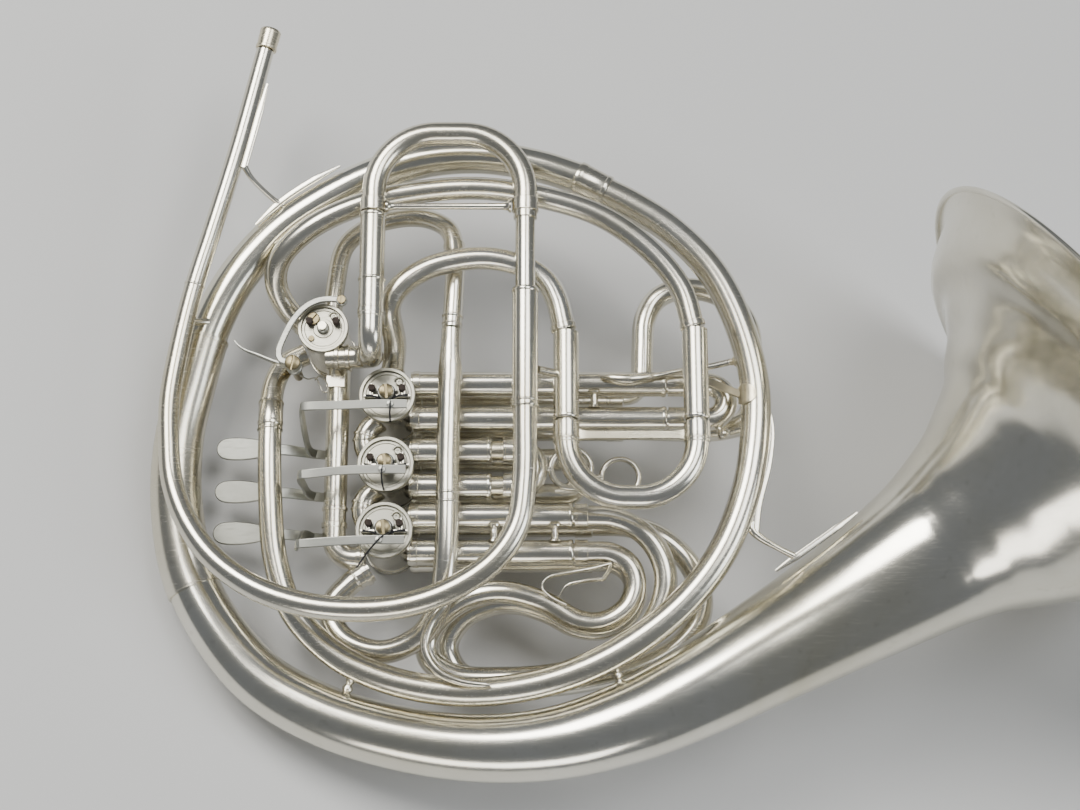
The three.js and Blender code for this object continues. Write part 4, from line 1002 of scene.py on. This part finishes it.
post_between("post_left", (-99, -151, 8), (-103, -160, 4), "ring_post_left")
post_between("post_right", (40, -144, 8), (42, -153, 4), "ring_post_right")
post_between("post_top", (-143, 82, 19), (-147, 93, 11), "ring_post_top")
flange = Shape().turned(
    (-192, 40, 25), (11, 4, -13),
    [(0, 0), (0, 2.2), (4, 2.0), (12, 2.0), (15.5, 3.4), (16.8, 4.0), (17.2, 4.0), (17.2, 0)], 28,
)
flange.object("flange_left", SILVER, replaces=["ring_leadpipe_flange"])
stay = Shape().tube(smooth_path([
    (33, 16.4, 0.8, 0.7), (38, 15.1, 1.6, 2.4), (43, 14.3, 2.2, 3.2), (48.6, 13.9, 2.4, 3.5),
    (54, 14.4, 2.2, 3.2), (59, 15.3, 1.8, 2.4), (64, 16.3, 1, 1.8), (77.4, 19, 1, 1.8), (90, 21, 1, 1.8),
    (105.5, 24.4, 1, 1.9),
], 1.0), 20)
stay.object("slide_stay_plate", SILVER, replaces=["slide_stay"])
stay = Shape().ribbon([(91.4, 14.4, -1), (97, 10.7, 3), (103, 6.7, 7.4), (109.4, 2.6, 12)], 4.4, 1.6,
                      (0.5, 0.8, 0))
saddle = []
for k in range(15):
    w = 2 * k / 14 - 1
    spread = 0.1 + 0.85 * math.sqrt(max(0.0, 1 - w * w))
    outer, inner = leaf_arcs(117, 2.4 + 5.6 * w, 9, 7.8, 8.9, 2.5, spread)
    saddle.append(inner + outer)
stay.rings(saddle)
stay.turned((105, 24.2, 1), (0.95, 0.1, 0.35),
            [(0, 0), (0, 1.9), (1.8, 2.0), (2.6, 3.0), (5.0, 3.4), (5.0, 0)], 24)
stay.object("ring_stay", WORN, angle=FLAT)
hook = Shape().tube(smooth_path([
    (-48.2, -105, 19, 2.8), (-49.5, -112, 20, 2.7), (-57, -123, 20, 2.6), (-60, -136, 20, 2.5),
    (-54, -147, 20, 2.4), (-42, -153.2, 20, 2.3), (-28, -155, 19, 1.6), (-25.6, -155, 19, 0.8)], 1.2), 18)
hook.object("finger_hook", SILVER, replaces=["pinky_hook"])

# ---- floor, light, camera ----
floor_mesh = bpy.data.meshes.new("floor")
FLOOR_HALF = 6.0
FLOOR_Z = -0.0005
corners = [(a * FLOOR_HALF, b * FLOOR_HALF, FLOOR_Z) for a, b in ((-1, -1), (1, -1), (1, 1), (-1, 1))]
floor_mesh.from_pydata(corners, [], [(0, 1, 2, 3)])
floor = bpy.data.objects.new("floor", floor_mesh)
bpy.context.scene.collection.objects.link(floor)
floor_mat = bpy.data.materials.new("floor")
floor_mat.use_nodes = True
floor_shader = floor_mat.node_tree.nodes["Principled BSDF"]
floor_shader.inputs["Base Color"].default_value = (0.62, 0.62, 0.61, 1)
floor_shader.inputs["Roughness"].default_value = 0.75
floor_mesh.materials.append(floor_mat)

world = bpy.data.worlds.new("world")
world.use_nodes = True
sky = world.node_tree.nodes["Background"]
sky.inputs["Color"].default_value = (0.62, 0.66, 0.72, 1)
sky.inputs["Strength"].default_value = 0.28
bpy.context.scene.world = world


def area(name, place, aim, size, power, color=(1, 1, 1), size_y=None):
    """A soft rectangular light pointed at a place."""
    light = bpy.data.lights.new(name, "AREA")
    light.shape = "RECTANGLE"
    light.size = size
    light.size_y = size_y or size
    light.energy = power
    light.color = color
    obj = bpy.data.objects.new(name, light)
    obj.location = place
    obj.rotation_euler = (Vector(aim) - Vector(place)).to_track_quat("-Z", "Y").to_euler()
    bpy.context.scene.collection.objects.link(obj)


area("key", (-1.3, 0.9, 1.9), (0, 0, 0.05), 1.1, 55, (1, 0.98, 0.94))
area("fill", (1.6, -0.6, 1.6), (0, 0, 0.05), 0.9, 16, (0.92, 0.96, 1))
area("top", (0.3, 0.4, 2.4), (0, 0, 0), 1.0, 22)
area("low", (-0.4, -1.9, 0.7), (0, 0, 0.1), 1.4, 10, (1, 0.97, 0.92), 0.5)

# The photo's view: the horn's face, seen from 15 degrees below its middle.
CAMERA_AWAY = 1000.0
TILT = math.radians(15)
right = Vector((1, 0, 0))
up = Vector((0, math.cos(TILT), math.sin(TILT)))
toward = Vector((0, -math.sin(TILT), math.cos(TILT)))
turn = REST.to_3x3()
camera_data = bpy.data.cameras.new("camera")
camera = bpy.data.objects.new("camera", camera_data)
bpy.context.scene.collection.objects.link(camera)
axes = Matrix((turn @ right, turn @ up, turn @ toward)).transposed()
camera.matrix_world = Matrix.Translation(at(toward * CAMERA_AWAY)) @ axes.to_4x4()
camera_data.lens = 60.6
camera_data.sensor_width = 36.0
camera_data.clip_start = 0.01
bpy.context.scene.camera = camera
